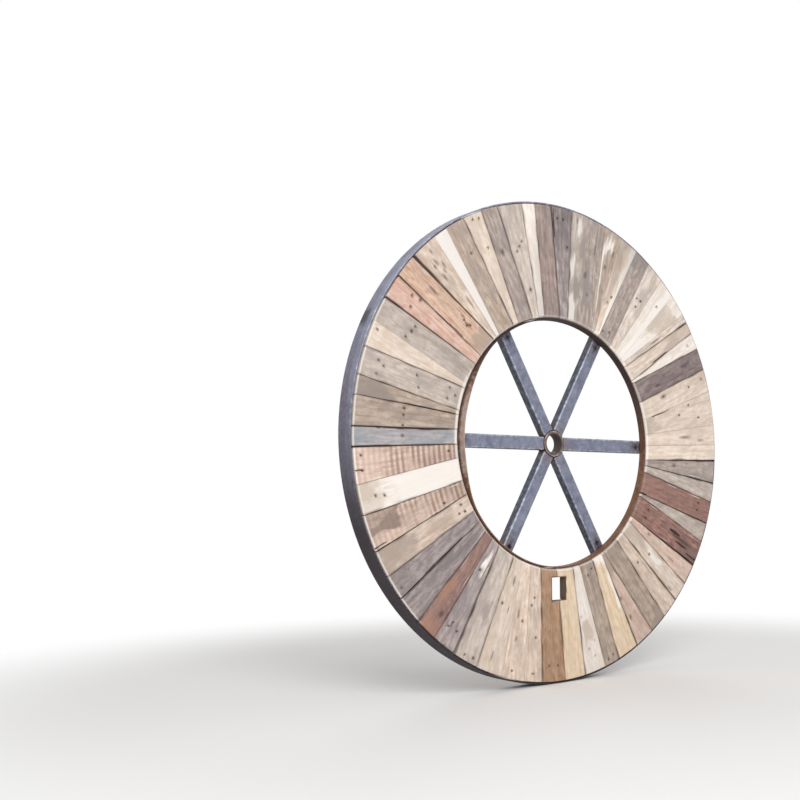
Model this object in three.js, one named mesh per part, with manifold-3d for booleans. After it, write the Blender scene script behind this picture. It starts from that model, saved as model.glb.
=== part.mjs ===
// End flange of a steel-framed wooden cable drum, stood on its rim.
// Units are millimetres. The drum axis is Y, the board face looks toward -Y, Z is up.
import * as THREE from 'three';
import { mergeVertices } from 'three/addons/utils/BufferGeometryUtils.js';
import Module from 'manifold-3d';

const wasm = await Module();
wasm.setup();

// ---------------------------------------------------------------- driving dimensions

const rimDiameter = 2000;         // over the flats of the outer rim
const rimWidth = 80;              // flat bar, measured along the drum axis
const rimThickness = 6;
const hoopDiameter = 1040;        // outside of the inner hoop
const hoopThickness = 5;
const hubDiameter = 108;
const hubBore = 82;
const hubLength = 50;
const hubEdgeBreak = 1.5;         // chamfer on both ends of the hub tube

const spokeCount = 6;
const spokeWidth = 56;            // over the channel's flanges
const spokeDepth = 38;
const spokeWall = 5;
const spokeBendRadius = 8;        // outside radius of the channel's folded corners
const tieRodHole = 18;
const tieRodRadius = 490;         // hole centre from the drum axis

const frontBoardThickness = 22;
const backBoardThickness = 18;
const boardStandout = 8;          // front boards stand out of the rim's front edge
const boardEndBevel = 12;         // sawn bevel on the boards' inner ends, round the middle opening
const hoopSetback = 3;            // hoop's front edge lies behind the board face
const crossBoardRows = 5;         // crosswise boards in each sector of the back layer

const outletWidth = 76;           // cable outlet through both layers
const outletHeight = 96;          // the second crosswise board's width, so the cut parts that board
const outletFromHoop = 39;        // from the hoop's outside to the outlet
const outletAngle = 181.2;        // degrees clockwise from the top

// Clearances
const seatGap = 0.3;              // between pieces that are welded, nailed or seated
const rimEndGap = 3;              // board ends to the rim
const hoopEndGap = 1.5;           // board ends to the inner hoop
const boardGap = 2.4;             // usual gap between neighbouring boards
const grooveFloor = 6;            // wood left in a gap where two boards share a solid

// Faceting
const ringSegments = 96;
const hubSegments = 48;
const holeSegments = 20;
const arcStep = 3;                // degrees between points on a board's end arc
const bendSegments = 3;

// The sixty front boards, clockwise from the top: [width at the rim, width at the hoop], in
// degrees of the ring. A third value is the open wedge, in millimetres at the rim, that is left
// after that board. The layout scales the degrees so that the ring closes.
const frontBoards = [
  [6.9, 4.5], [5.5, 5.2], [6.2, 11.1], [5.6, 1.2], [6.2, 3.0], [5.3, 8.9], [6.1, 3.8],
  [5.4, 5.1], [6.2, 2.0], [2.4, 2.4, 5], [3.2, 8.2], [4.7, 1.1], [6.1, 10.5], [6.3, 8.7],
  [9.3, 7.4], [5.4, 5.6], [4.5, 6.9, 9], [6.3, 2.9, 6], [5.3, 3.2], [6.1, 10.9, 5],
  [5.4, 1.2], [7.1, 11.7, 8], [6.1, 2.7], [5.4, 7.2, 7], [5.9, 5.5], [5.9, 10.2],
  [6.5, 1.4, 6], [7.2, 6.3], [4.9, 8.8], [7.0, 4.1, 5], [6.6, 10.0], [7.4, 9.8],
  [5.7, 6.0], [7.0, 4.6], [7.8, 5.7], [7.0, 9.4, 11], [6.6, 4.8], [5.9, 4.7],
  [6.6, 5.4, 6], [5.9, 5.4], [6.0, 7.8, 8], [8.2, 6.2, 6], [6.6, 9.8], [8.0, 5.6, 6],
  [4.3, 6.4, 5], [6.7, 6.0], [4.3, 1.7], [6.3, 10.2, 5], [6.0, 2.1], [6.0, 10.0, 8],
  [5.9, 4.6, 5], [6.2, 10.5, 13], [7.3, 1.9], [4.0, 1.8], [5.7, 9.5], [5.7, 3.1],
  [5.0, 9.0], [7.6, 3.5], [4.0, 3.2], [5.3, 9.6, 7],
];
const firstBoardAngle = [-2.2, 0.9];   // degrees clockwise from the top, at the rim and the hoop

// ---------------------------------------------------------------- derived places

const totalDepth = rimWidth + boardStandout;
const faceZ = totalDepth / 2;                      // board face, in the flange's own frame
const rimFrontZ = faceZ - boardStandout;
const rimInner = rimDiameter / 2 - rimThickness;
const hoopOuter = hoopDiameter / 2;
const frontBoardBackZ = faceZ - frontBoardThickness;
const crossBoardFrontZ = frontBoardBackZ - seatGap;
const crossBoardBackZ = crossBoardFrontZ - backBoardThickness;
const spokeFrontZ = crossBoardBackZ - seatGap;
const rimBackZ = rimFrontZ - rimWidth;
const boardOuter = rimInner - rimEndGap;
const boardInner = hoopOuter + hoopEndGap;
const outletRadius = hoopOuter + outletFromHoop + outletHeight / 2;
const sectorAngle = 360 / spokeCount;

const toRadians = THREE.MathUtils.degToRad;

// Point at a radius and an angle given in degrees clockwise from the top, seen from the front.
function clockPoint(radius, clockDegrees) {
  const angle = toRadians(90 - clockDegrees);
  return new THREE.Vector2(radius * Math.cos(angle), radius * Math.sin(angle));
}

function arcPoints(radius, from, to) {
  const steps = Math.max(1, Math.ceil(Math.abs(to - from) / arcStep));
  return Array.from({ length: steps + 1 }, (_, i) => clockPoint(radius, from + ((to - from) * i) / steps));
}

// ---------------------------------------------------------------- solid helpers

function toManifold(geometry) {
  const bare = geometry.clone();
  bare.deleteAttribute('normal');
  bare.deleteAttribute('uv');
  const welded = mergeVertices(bare, 1e-4);
  return new wasm.Manifold(new wasm.Mesh({
    numProp: 3,
    vertProperties: new Float32Array(welded.attributes.position.array),
    triVerts: new Uint32Array(welded.index.array),
  }));
}

function toGeometry(solid) {
  const mesh = solid.getMesh();
  const geometry = new THREE.BufferGeometry();
  geometry.setAttribute('position', new THREE.BufferAttribute(mesh.vertProperties, 3));
  geometry.setIndex(new THREE.BufferAttribute(mesh.triVerts, 1));
  geometry.computeVertexNormals();
  return geometry;
}

// Prism over an outline, from one height of the flange's frame up to another.
function prism(points, lowZ, highZ) {
  const geometry = new THREE.ExtrudeGeometry(new THREE.Shape(points), {
    depth: highZ - lowZ,
    bevelEnabled: false,
  });
  return geometry.translate(0, 0, lowZ);
}

// Ring turned about the flange's axis, with its flats at the given radii and one flat at the bottom.
function turnedRing(outer, inner, lowZ, highZ, segments) {
  const flat = 1 / Math.cos(Math.PI / segments);
  const profile = [
    new THREE.Vector2(inner * flat, lowZ),
    new THREE.Vector2(outer * flat, lowZ),
    new THREE.Vector2(outer * flat, highZ),
    new THREE.Vector2(inner * flat, highZ),
    new THREE.Vector2(inner * flat, lowZ),
  ];
  const geometry = new THREE.LatheGeometry(profile, segments, Math.PI / segments);
  return geometry.rotateX(Math.PI / 2);
}

// ---------------------------------------------------------------- materials

const rimSteel = new THREE.MeshStandardMaterial({ color: '#6d7382', roughness: 0.55, metalness: 0.8 });
const hoopSteel = new THREE.MeshStandardMaterial({ color: '#7a553d', roughness: 0.8, metalness: 0.5 });
const spokeSteel = new THREE.MeshStandardMaterial({ color: '#7b8494', roughness: 0.5, metalness: 0.8 });
const hubSteel = new THREE.MeshStandardMaterial({ color: '#5f5552', roughness: 0.7, metalness: 0.6 });
const frontWood = new THREE.MeshStandardMaterial({ color: '#cbb9a3', roughness: 0.85, metalness: 0 });
const backWood = new THREE.MeshStandardMaterial({ color: '#b3a08a', roughness: 0.88, metalness: 0 });

const flange = new THREE.Group();

function addPiece(name, geometry, material) {
  const mesh = new THREE.Mesh(geometry, material);
  mesh.name = name;
  flange.add(mesh);
  return mesh;
}

// ---------------------------------------------------------------- steel frame

// A ring in as many lengths as there are spokes, which meet over the spokes.
function addRingLengths(name, ring, material) {
  const reach = rimDiameter;
  const half = sectorAngle / 2;
  const sides = [clockPoint(reach, -half), clockPoint(reach, half)];
  const inset = clockPoint(seatGap / 2 / Math.sin(toRadians(half)), 0);
  const wedge = [inset, ...sides.map((side) => side.clone().add(inset))];
  for (let i = 0; i < spokeCount; i += 1) {
    const sector = toManifold(prism(wedge, -totalDepth, totalDepth)).rotate([0, 0, -i * sectorAngle]);
    addPiece(`${name}_${i + 1}`, toGeometry(ring.intersect(sector)), material);
  }
}

function addRimAndHoop() {
  const rim = turnedRing(rimDiameter / 2, rimInner, rimBackZ, rimFrontZ, ringSegments);
  addRingLengths('outer_rim', toManifold(rim), rimSteel);
  const hoopFrontZ = faceZ - hoopSetback;
  const hoopBackZ = spokeFrontZ + seatGap;
  const hoop = turnedRing(hoopOuter, hoopOuter - hoopThickness, hoopBackZ, hoopFrontZ, ringSegments);
  addRingLengths('inner_hoop', toManifold(hoop), hoopSteel);
}

function addHub() {
  const bore = hubBore / 2;
  const outside = hubDiameter / 2;
  const lowZ = rimBackZ;
  const highZ = lowZ + hubLength;
  const profile = [
    [bore, lowZ + hubEdgeBreak],
    [bore + hubEdgeBreak, lowZ],
    [outside - hubEdgeBreak, lowZ],
    [outside, lowZ + hubEdgeBreak],
    [outside, highZ - hubEdgeBreak],
    [outside - hubEdgeBreak, highZ],
    [bore + hubEdgeBreak, highZ],
    [bore, highZ - hubEdgeBreak],
    [bore, lowZ + hubEdgeBreak],
  ].map(([radius, height]) => new THREE.Vector2(radius, height));
  addPiece('hub_tube', new THREE.LatheGeometry(profile, hubSegments).rotateX(Math.PI / 2), hubSteel);
}

// Folded channel section: web to the front, legs to the back.
function channelOutline() {
  const half = spokeWidth / 2;
  const inner = Math.max(spokeBendRadius - spokeWall, 0.5);
  const points = [];
  const corner = (x, y, radius, from, to) => {
    for (let i = 0; i <= bendSegments; i += 1) {
      const angle = toRadians(from + ((to - from) * i) / bendSegments);
      points.push(new THREE.Vector2(x + radius * Math.cos(angle), y + radius * Math.sin(angle)));
    }
  };
  points.push(new THREE.Vector2(half, -spokeDepth));
  corner(half - spokeBendRadius, -spokeBendRadius, spokeBendRadius, 0, 90);
  corner(-half + spokeBendRadius, -spokeBendRadius, spokeBendRadius, 90, 180);
  points.push(new THREE.Vector2(-half, -spokeDepth));
  points.push(new THREE.Vector2(-half + spokeWall, -spokeDepth));
  corner(-half + spokeWall + inner, -spokeWall - inner, inner, 180, 90);
  corner(half - spokeWall - inner, -spokeWall - inner, inner, 90, 0);
  points.push(new THREE.Vector2(half - spokeWall, -spokeDepth));
  return points;
}

function spokeGeometry() {
  const start = hubDiameter / 2 + seatGap;
  const end = rimInner - seatGap;
  const bar = prism(channelOutline(), start, end);
  bar.rotateX(Math.PI / 2);
  bar.rotateZ(Math.PI / 2);
  bar.translate(0, 0, spokeFrontZ);
  const hole = new THREE.CylinderGeometry(tieRodHole / 2, tieRodHole / 2, spokeWall * 4, holeSegments);
  hole.rotateX(Math.PI / 2);
  hole.translate(tieRodRadius, 0, spokeFrontZ);
  return toGeometry(toManifold(bar).subtract(toManifold(hole)));
}

function addSpokes() {
  const geometry = spokeGeometry();
  for (let i = 0; i < spokeCount; i += 1) {
    const spoke = addPiece(`spoke_${i + 1}`, geometry.clone(), spokeSteel);
    spoke.rotation.z = toRadians(i * sectorAngle);
  }
}

// ---------------------------------------------------------------- boards

// Cable outlet: a square-cornered cut through both layers, in line with the crosswise boards.
function outletCutter() {
  const box = new THREE.BoxGeometry(outletWidth, outletHeight, totalDepth);
  const centre = clockPoint(outletRadius, outletAngle);
  box.translate(centre.x, centre.y, faceZ - totalDepth / 4);
  return toManifold(box);
}

// Everything on one side of the outlet: -1 for the left and 1 for the right.
function besideOutlet(side) {
  const box = new THREE.BoxGeometry(rimDiameter, rimDiameter, totalDepth);
  const centre = clockPoint(outletRadius, outletAngle);
  box.translate(centre.x + (side * (outletWidth + rimDiameter)) / 2, centre.y, 0);
  return toManifold(box);
}

// Cone that saws the bevel on the inner ends of the front boards.
function bevelCutter() {
  const beyond = 5;
  const profile = [
    [0, faceZ - boardEndBevel - beyond],
    [boardInner - beyond, faceZ - boardEndBevel - beyond],
    [boardInner + boardEndBevel + beyond, faceZ + beyond],
    [0, faceZ + beyond],
  ].map(([radius, height]) => new THREE.Vector2(radius, height));
  return toManifold(new THREE.LatheGeometry(profile, ringSegments).rotateX(Math.PI / 2));
}

// Start angles of every board edge at the rim and at the hoop, with the gap left there.
function boardEdges() {
  const total = [0, 1].map((end) => frontBoards.reduce((sum, board) => sum + board[end], 0));
  const angle = [...firstBoardAngle];
  const edges = frontBoards.map((board, i) => {
    const before = frontBoards[(i + frontBoards.length - 1) % frontBoards.length];
    const edge = { rim: angle[0], hoop: angle[1], gapAtRim: before[2] ?? boardGap };
    angle[0] += (board[0] * 360) / total[0];
    angle[1] += (board[1] * 360) / total[1];
    return edge;
  });
  edges.push({ ...edges[0], rim: edges[0].rim + 360, hoop: edges[0].hoop + 360 });
  return edges;
}

// Half of a gap, as degrees of the ring at that radius.
function halfGap(gap, radius) {
  return THREE.MathUtils.radToDeg(gap / 2 / radius);
}

function boardOutline(first, last) {
  const rimFrom = first.rim + halfGap(first.gapAtRim, boardOuter);
  const rimTo = last.rim - halfGap(last.gapAtRim, boardOuter);
  const hoopFrom = first.hoop + halfGap(boardGap, boardInner);
  const hoopTo = last.hoop - halfGap(boardGap, boardInner);
  return [...arcPoints(boardOuter, rimFrom, rimTo), ...arcPoints(boardInner, hoopTo, hoopFrom)];
}

// The gap on one board edge, as a thin wedge that runs a little past both board ends.
function gapOutline(edge) {
  const beyond = rimEndGap;
  const rimHalf = halfGap(edge.gapAtRim, boardOuter);
  const hoopHalf = halfGap(boardGap, boardInner);
  const rimPoint = (side) => clockPoint(boardOuter, edge.rim + side * rimHalf);
  const hoopPoint = (side) => clockPoint(boardInner, edge.hoop + side * hoopHalf);
  const stretch = (from, to) => to.clone().add(to.clone().sub(from).setLength(beyond));
  return [
    stretch(hoopPoint(-1), rimPoint(-1)),
    stretch(hoopPoint(1), rimPoint(1)),
    stretch(rimPoint(1), hoopPoint(1)),
    stretch(rimPoint(-1), hoopPoint(-1)),
  ];
}

// Cuts a gap into both faces of a layer and leaves a thin floor between the two cuts.
function cutGap(layer, outline, lowZ, highZ) {
  const middle = (lowZ + highZ) / 2;
  const front = prism(outline, middle + grooveFloor / 2, highZ + 1);
  const back = prism(outline, lowZ - 1, middle - grooveFloor / 2);
  return layer.subtract(toManifold(front)).subtract(toManifold(back));
}

// True where a seam between front boards runs into the outlet.
function meetsOutlet(edge) {
  const share = (outletRadius - boardInner) / (boardOuter - boardInner);
  const angle = THREE.MathUtils.lerp(edge.hoop, edge.rim, share);
  return Math.abs(toRadians(angle - outletAngle)) * outletRadius < outletWidth / 2;
}

// Pairs of front boards, but single ones where their seam runs into the outlet.
function addFrontBoards(outlet) {
  const edges = boardEdges();
  const bevel = bevelCutter();
  const addBoards = (name, first, end) => {
    let layer = toManifold(prism(boardOutline(edges[first], edges[end]), frontBoardBackZ, faceZ));
    for (const seam of edges.slice(first + 1, end)) {
      layer = cutGap(layer, gapOutline(seam), frontBoardBackZ, faceZ);
    }
    addPiece(name, toGeometry(layer.subtract(bevel).subtract(outlet)), frontWood);
  };
  for (let i = 0; i < frontBoards.length; i += 2) {
    if (meetsOutlet(edges[i + 1])) {
      addBoards(`front_board_${i + 1}`, i, i + 1);
      addBoards(`front_board_${i + 2}`, i + 1, i + 2);
    } else {
      addBoards(`front_boards_${String(i / 2 + 1).padStart(2, '0')}`, i, i + 2);
    }
  }
}

// Seams between the crosswise boards, innermost first: the outlet's board, then even boards to the rim.
function crossSeams() {
  const inner = outletRadius - outletHeight / 2;
  const outer = outletRadius + outletHeight / 2;
  const evenRows = crossBoardRows - 2;
  const pitch = (boardOuter - outer) / evenRows;
  return [inner, ...Array.from({ length: evenRows }, (_, i) => outer + i * pitch)];
}

// Crosswise boards between two spoke lines, from one row up to another, as one solid.
function crossBoards(middleAngle, firstRow, endRow) {
  const half = sectorAngle / 2;
  const outer = halfGap(boardGap, boardOuter);
  const inner = halfGap(boardGap, boardInner);
  const outline = [
    ...arcPoints(boardOuter, -half + outer, half - outer),
    ...arcPoints(boardInner, half - inner, -half + inner),
  ];
  const seams = crossSeams();
  const reach = boardOuter * Math.sin(toRadians(half)) + boardGap;
  const strip = (low, high) => [
    new THREE.Vector2(-reach, low),
    new THREE.Vector2(reach, low),
    new THREE.Vector2(reach, high),
    new THREE.Vector2(-reach, high),
  ];
  const low = firstRow > 0 ? seams[firstRow - 1] + boardGap / 2 : 0;
  const high = endRow < crossBoardRows ? seams[endRow - 1] - boardGap / 2 : boardOuter + boardGap;
  const rows = toManifold(prism(strip(low, high), -totalDepth, totalDepth));
  let layer = toManifold(prism(outline, crossBoardBackZ, crossBoardFrontZ)).intersect(rows);
  for (const seam of seams.slice(firstRow, endRow - 1)) {
    const gap = strip(seam - boardGap / 2, seam + boardGap / 2);
    layer = cutGap(layer, gap, crossBoardBackZ, crossBoardFrontZ);
  }
  return layer.rotate([0, 0, -middleAngle]);
}

// One sector of the back layer to each spoke gap. In the top and bottom sectors the innermost board
// is a solid of its own, and in the outlet's sector the outlet cuts the second board in two.
function addBackBoards() {
  const outletSector = Math.round(outletAngle / sectorAngle) % spokeCount;
  for (let i = 0; i < spokeCount; i += 1) {
    const middleAngle = i * sectorAngle;
    const number = i + 1;
    const addBoards = (name, solid) => addPiece(name, toGeometry(solid), backWood);
    let firstRow = 0;
    if (i % (spokeCount / 2) === 0) {
      addBoards(`back_board_${number}_inner`, crossBoards(middleAngle, 0, 1));
      firstRow = 1;
    }
    if (i === outletSector) {
      const parted = crossBoards(middleAngle, 1, 2);
      addBoards(`back_board_${number}_left`, parted.intersect(besideOutlet(-1)));
      addBoards(`back_board_${number}_right`, parted.intersect(besideOutlet(1)));
      firstRow = 2;
    }
    addBoards(`back_boards_${number}`, crossBoards(middleAngle, firstRow, crossBoardRows));
  }
}

// ---------------------------------------------------------------- assembly

const outlet = outletCutter();
addRimAndHoop();
addHub();
addSpokes();
addFrontBoards(outlet);
addBackBoards();

flange.rotation.x = Math.PI / 2;
flange.position.z = rimDiameter / 2;

const drumFlange = new THREE.Group();
drumFlange.add(flange);
drumFlange.updateMatrixWorld(true);

export default drumFlange;
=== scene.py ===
"""Dresses the flange of a steel-framed wooden cable drum: reclaimed boards, hoop, rim, spokes and hub."""
import functools
import math
import random
from dataclasses import dataclass

import bmesh
import bpy
from bpy.props import (
    CollectionProperty,
    FloatProperty,
    FloatVectorProperty,
    IntProperty,
    PointerProperty,
    StringProperty,
)
from mathutils import Euler, Matrix, Vector, noise


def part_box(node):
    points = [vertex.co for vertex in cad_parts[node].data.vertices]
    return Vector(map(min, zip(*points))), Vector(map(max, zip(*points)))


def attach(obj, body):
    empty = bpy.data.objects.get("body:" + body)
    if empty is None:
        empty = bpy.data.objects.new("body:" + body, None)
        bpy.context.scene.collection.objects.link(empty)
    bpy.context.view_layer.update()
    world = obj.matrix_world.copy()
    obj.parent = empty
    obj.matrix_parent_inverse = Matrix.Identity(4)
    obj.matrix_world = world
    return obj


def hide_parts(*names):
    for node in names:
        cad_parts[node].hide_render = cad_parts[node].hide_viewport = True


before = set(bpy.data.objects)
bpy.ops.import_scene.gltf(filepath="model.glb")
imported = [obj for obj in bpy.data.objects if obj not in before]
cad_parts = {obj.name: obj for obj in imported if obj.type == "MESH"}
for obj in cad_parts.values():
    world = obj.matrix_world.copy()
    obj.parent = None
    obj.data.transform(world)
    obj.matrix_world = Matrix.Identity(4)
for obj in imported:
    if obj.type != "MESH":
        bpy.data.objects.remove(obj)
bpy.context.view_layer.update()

bl_info = {
    "name": "Cable drum flange",
    "version": (1, 0, 0),
    "blender": (4, 5, 0),
    "location": "3D View > Sidebar > Drum flange",
    "description": "Builds the boards, steelwork and finishes of a wooden cable drum flange",
    "category": "Object",
}

# ------------------------------------------------------------------ places taken from the frame

X, Y, Z = range(3)
MM = 0.001
TOUCH = 1e-6                     # metres within which two places are the same


def nodes_named(prefix):
    """CAD nodes whose names start with a prefix, in order."""
    return sorted(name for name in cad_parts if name.startswith(prefix))


def span(prefix, axis):
    """Lowest and highest coordinate that the nodes of one kind reach along an axis."""
    boxes = [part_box(name) for name in nodes_named(prefix)]
    return min(low[axis] for low, high in boxes), max(high[axis] for low, high in boxes)


def radius_of(prefix):
    """Outside radius of the round nodes of one kind, from their width together."""
    low, high = span(prefix, X)
    return (high - low) / 2


RIM_RADIUS = radius_of("outer_rim")
RIM_FRONT, RIM_BACK = span("outer_rim", Y)
HOOP_RADIUS = radius_of("inner_hoop")
HOOP_FRONT, HOOP_BACK = span("inner_hoop", Y)
HUB_RADIUS = radius_of("hub_tube")
HUB_FRONT, HUB_BACK = span("hub_tube", Y)
FACE, FRONT_BOARD_BACK = span("front_board", Y)
CROSS_FRONT, CROSS_BACK = span("back_board", Y)
SPOKE_START, SPOKE_END = span("spoke_1", X)
SPOKE_FRONT, SPOKE_BACK = span("spoke_1", Y)
SPOKE_WIDTH = span("spoke_1", Z)[1] - span("spoke_1", Z)[0]
SPOKES = len(nodes_named("spoke_"))
AXIS = Vector((0, 0, RIM_RADIUS))
SECTOR = 360 / SPOKES


def clock_point(radius, degrees, depth=0.0):
    """Point at a radius and an angle clockwise from the top, seen from the board face."""
    angle = math.radians(degrees)
    return AXIS + Vector((radius * math.sin(angle), depth, radius * math.cos(angle)))


def clock_of(spot):
    """Radius and clock angle of a point."""
    offset = spot - AXIS
    return math.hypot(offset.x, offset.z), math.degrees(math.atan2(offset.x, offset.z)) % 360


def linear(code):
    """sRGB hex to the linear colour that a shader socket holds."""
    shares = [int(code[i : i + 2], 16) / 255 for i in (1, 3, 5)]
    return [s / 12.92 if s <= 0.04045 else ((s + 0.055) / 1.055) ** 2.4 for s in shares] + [1.0]


def mix(a, b, share):
    """Value at a share of the way from a to b."""
    return a + (b - a) * share


def smooth(low, high, value):
    """0 below low, 1 above high, and an even curve between. Low may be the larger one."""
    share = min(max((value - low) / (high - low), 0.0), 1.0)
    return share * share * (3 - 2 * share)


def in_zone(angle, zone):
    """1 inside a zone of clock angles and 0 outside: it begins, is full, starts to fade and ends."""
    begin, full, fade, end = zone
    return smooth(begin, full, angle) * smooth(end, fade, angle)


def ripple(*place):
    """Smooth noise between -1 and 1."""
    return noise.noise(Vector(place))


def turned(degrees):
    """Turn about the drum axis, for a piece laid out round the origin."""
    return Matrix.Translation(AXIS) @ Matrix.Rotation(math.radians(degrees), 4, "Y")


# ------------------------------------------------------------------ the boards

# Reclaimed timbers: what each is and how it was worked, then the values of TIMBER_FIELDS. The coat is
# grey weathering unless the name says otherwise.
TIMBER_FIELDS = ("base", "streak", "pale", "coat", "contrast", "cover", "saw_marks", "fresh_cut")
TIMBERS = {
    # Nearly white, its grain faded by sun and rain.
    "sun_bleached_pine": ("#f4ebe3", "#ddccbd", "#fbf6f1", "#c9b9a9", 0.40, 0.12, 0.0, 0.9),
    # Cream with soft tan streaks, and quite matt.
    "rough_sawn_cream_pine": ("#e6d6c7", "#cbb29d", "#f1e7dc", "#bfafa2", 0.55, 0.20, 0.0, 0.9),
    # Warm straw yellow with wide, even streaks.
    "rough_sawn_straw_pine": ("#e2cdb3", "#c9ab87", "#ecdcc6", "#c3b3a0", 0.50, 0.10, 0.0, 0.9),
    # Light tan, greyer where it was handled.
    "pallet_pine_light_tan": ("#dbc8b9", "#b89d88", "#eadccf", "#a99a8e", 0.60, 0.25, 0.0, 0.8),
    # Pale grey-brown, dull and evenly weathered.
    "pallet_pine_pale_grey": ("#cdbfb6", "#a79789", "#ddd1c8", "#a19690", 0.60, 0.25, 0.0, 0.7),
    # Tan with dark open grain and grey patches.
    "weathered_oak_tan": ("#bfac9f", "#98826f", "#cfbfb1", "#948881", 0.65, 0.25, 0.0, 0.5),
    # Ash grey, darker along the lines where the grain has opened.
    "weathered_oak_ash_grey": ("#b2a39b", "#87766d", "#c5b8af", "#8f8784", 0.65, 0.30, 0.0, 0.4),
    # Mid grey with a purple cast and strong dark lines.
    "weathered_oak_mid_grey": ("#a09391", "#776969", "#b5aaa6", "#837c7c", 0.65, 0.30, 0.0, 0.35),
    # Dark grey-brown, weathered right through.
    "weathered_oak_dark_grey": ("#8e7f7b", "#655655", "#a19390", "#776c6d", 0.65, 0.30, 0.0, 0.35),
    # Cool blue-grey, from the stain that damp leaves in sapwood.
    "blue_stained_pine": ("#b3adae", "#918b8b", "#c2bdbd", "#989ca2", 0.50, 0.40, 0.0, 0.4),
    # Pinkish tan with fine, faint streaks.
    "rough_sawn_pink_beech": ("#d5bcab", "#b69686", "#e3cfc1", "#ab9a8f", 0.55, 0.18, 0.0, 0.8),
    # The same, with burnt brown strokes across the board.
    "band_sawn_pink_beech": ("#dcc2b2", "#b89d8e", "#e7d5c8", "#86736b", 0.40, 0.10, 0.70, 0.8),
    # Salmon pink, with broad darker streaks.
    "rough_sawn_salmon_cedar": ("#dfbcab", "#bf917e", "#e9d0c2", "#b9a294", 0.60, 0.10, 0.0, 0.8),
    # Orange-brown, its late wood much darker than its early wood.
    "rough_sawn_orange_larch": ("#d6b5a0", "#a98067", "#e2c8b4", "#ad9a8c", 0.70, 0.12, 0.0, 0.8),
    # Dull red-brown, close and even.
    "sawn_meranti_red_brown": ("#9a776c", "#785750", "#ae8b80", "#8a726c", 0.50, 0.12, 0.0, 0.08),
    # Dark red with nearly black streaks.
    "sawn_meranti_dark_red": ("#9c776b", "#664a45", "#b28a7e", "#75605c", 0.70, 0.18, 0.0, 0.08),
    # Golden brown, close and even.
    "sawn_iroko_brown": ("#b08d71", "#8d6b50", "#bfa187", "#9a8372", 0.55, 0.12, 0.0, 0.3),
    # Red-brown, with rubbed patches of faded red paint.
    "meranti_with_old_red_paint": ("#987a71", "#745952", "#ab9089", "#a9806e", 0.60, 0.10, 0.0, 0.3),
    # Grey with a red cast and soft streaks.
    "weathered_beech_reddish_grey": ("#ad978f", "#83706a", "#bdaca5", "#8d8481", 0.60, 0.22, 0.0, 0.5),
}


@dataclass
class Board:
    """A radial board and its marks.

    Widths are degrees of the ring, and wedge is the open gap after the board in millimetres at the
    rim, which closes to the usual gap at the hoop. In a mark, along runs from 0 at the hoop to 1 at
    the rim, and across from -1 to 1 clockwise.
    """

    timber: str
    at_rim: float
    at_hoop: float
    wedge: float = 1.8
    shade: float = 1.0           # how light it is beside others of its timber
    fade: float = 0.0            # share by which it is darker at the hoop than at the rim
    sunk: float = 1.0            # millimetres that the face lies below the proudest board
    nails: tuple = ()            # (along, across)
    knots: tuple = ()            # (along, across, length mm, width mm)
    splits: tuple = ()           # (along from, along to, across, width mm)
    wash: tuple = ()             # bleached patch: (along from, along to, across from, across to)
    coat: tuple = ()             # weathered or painted patch, stated as a wash is


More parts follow.
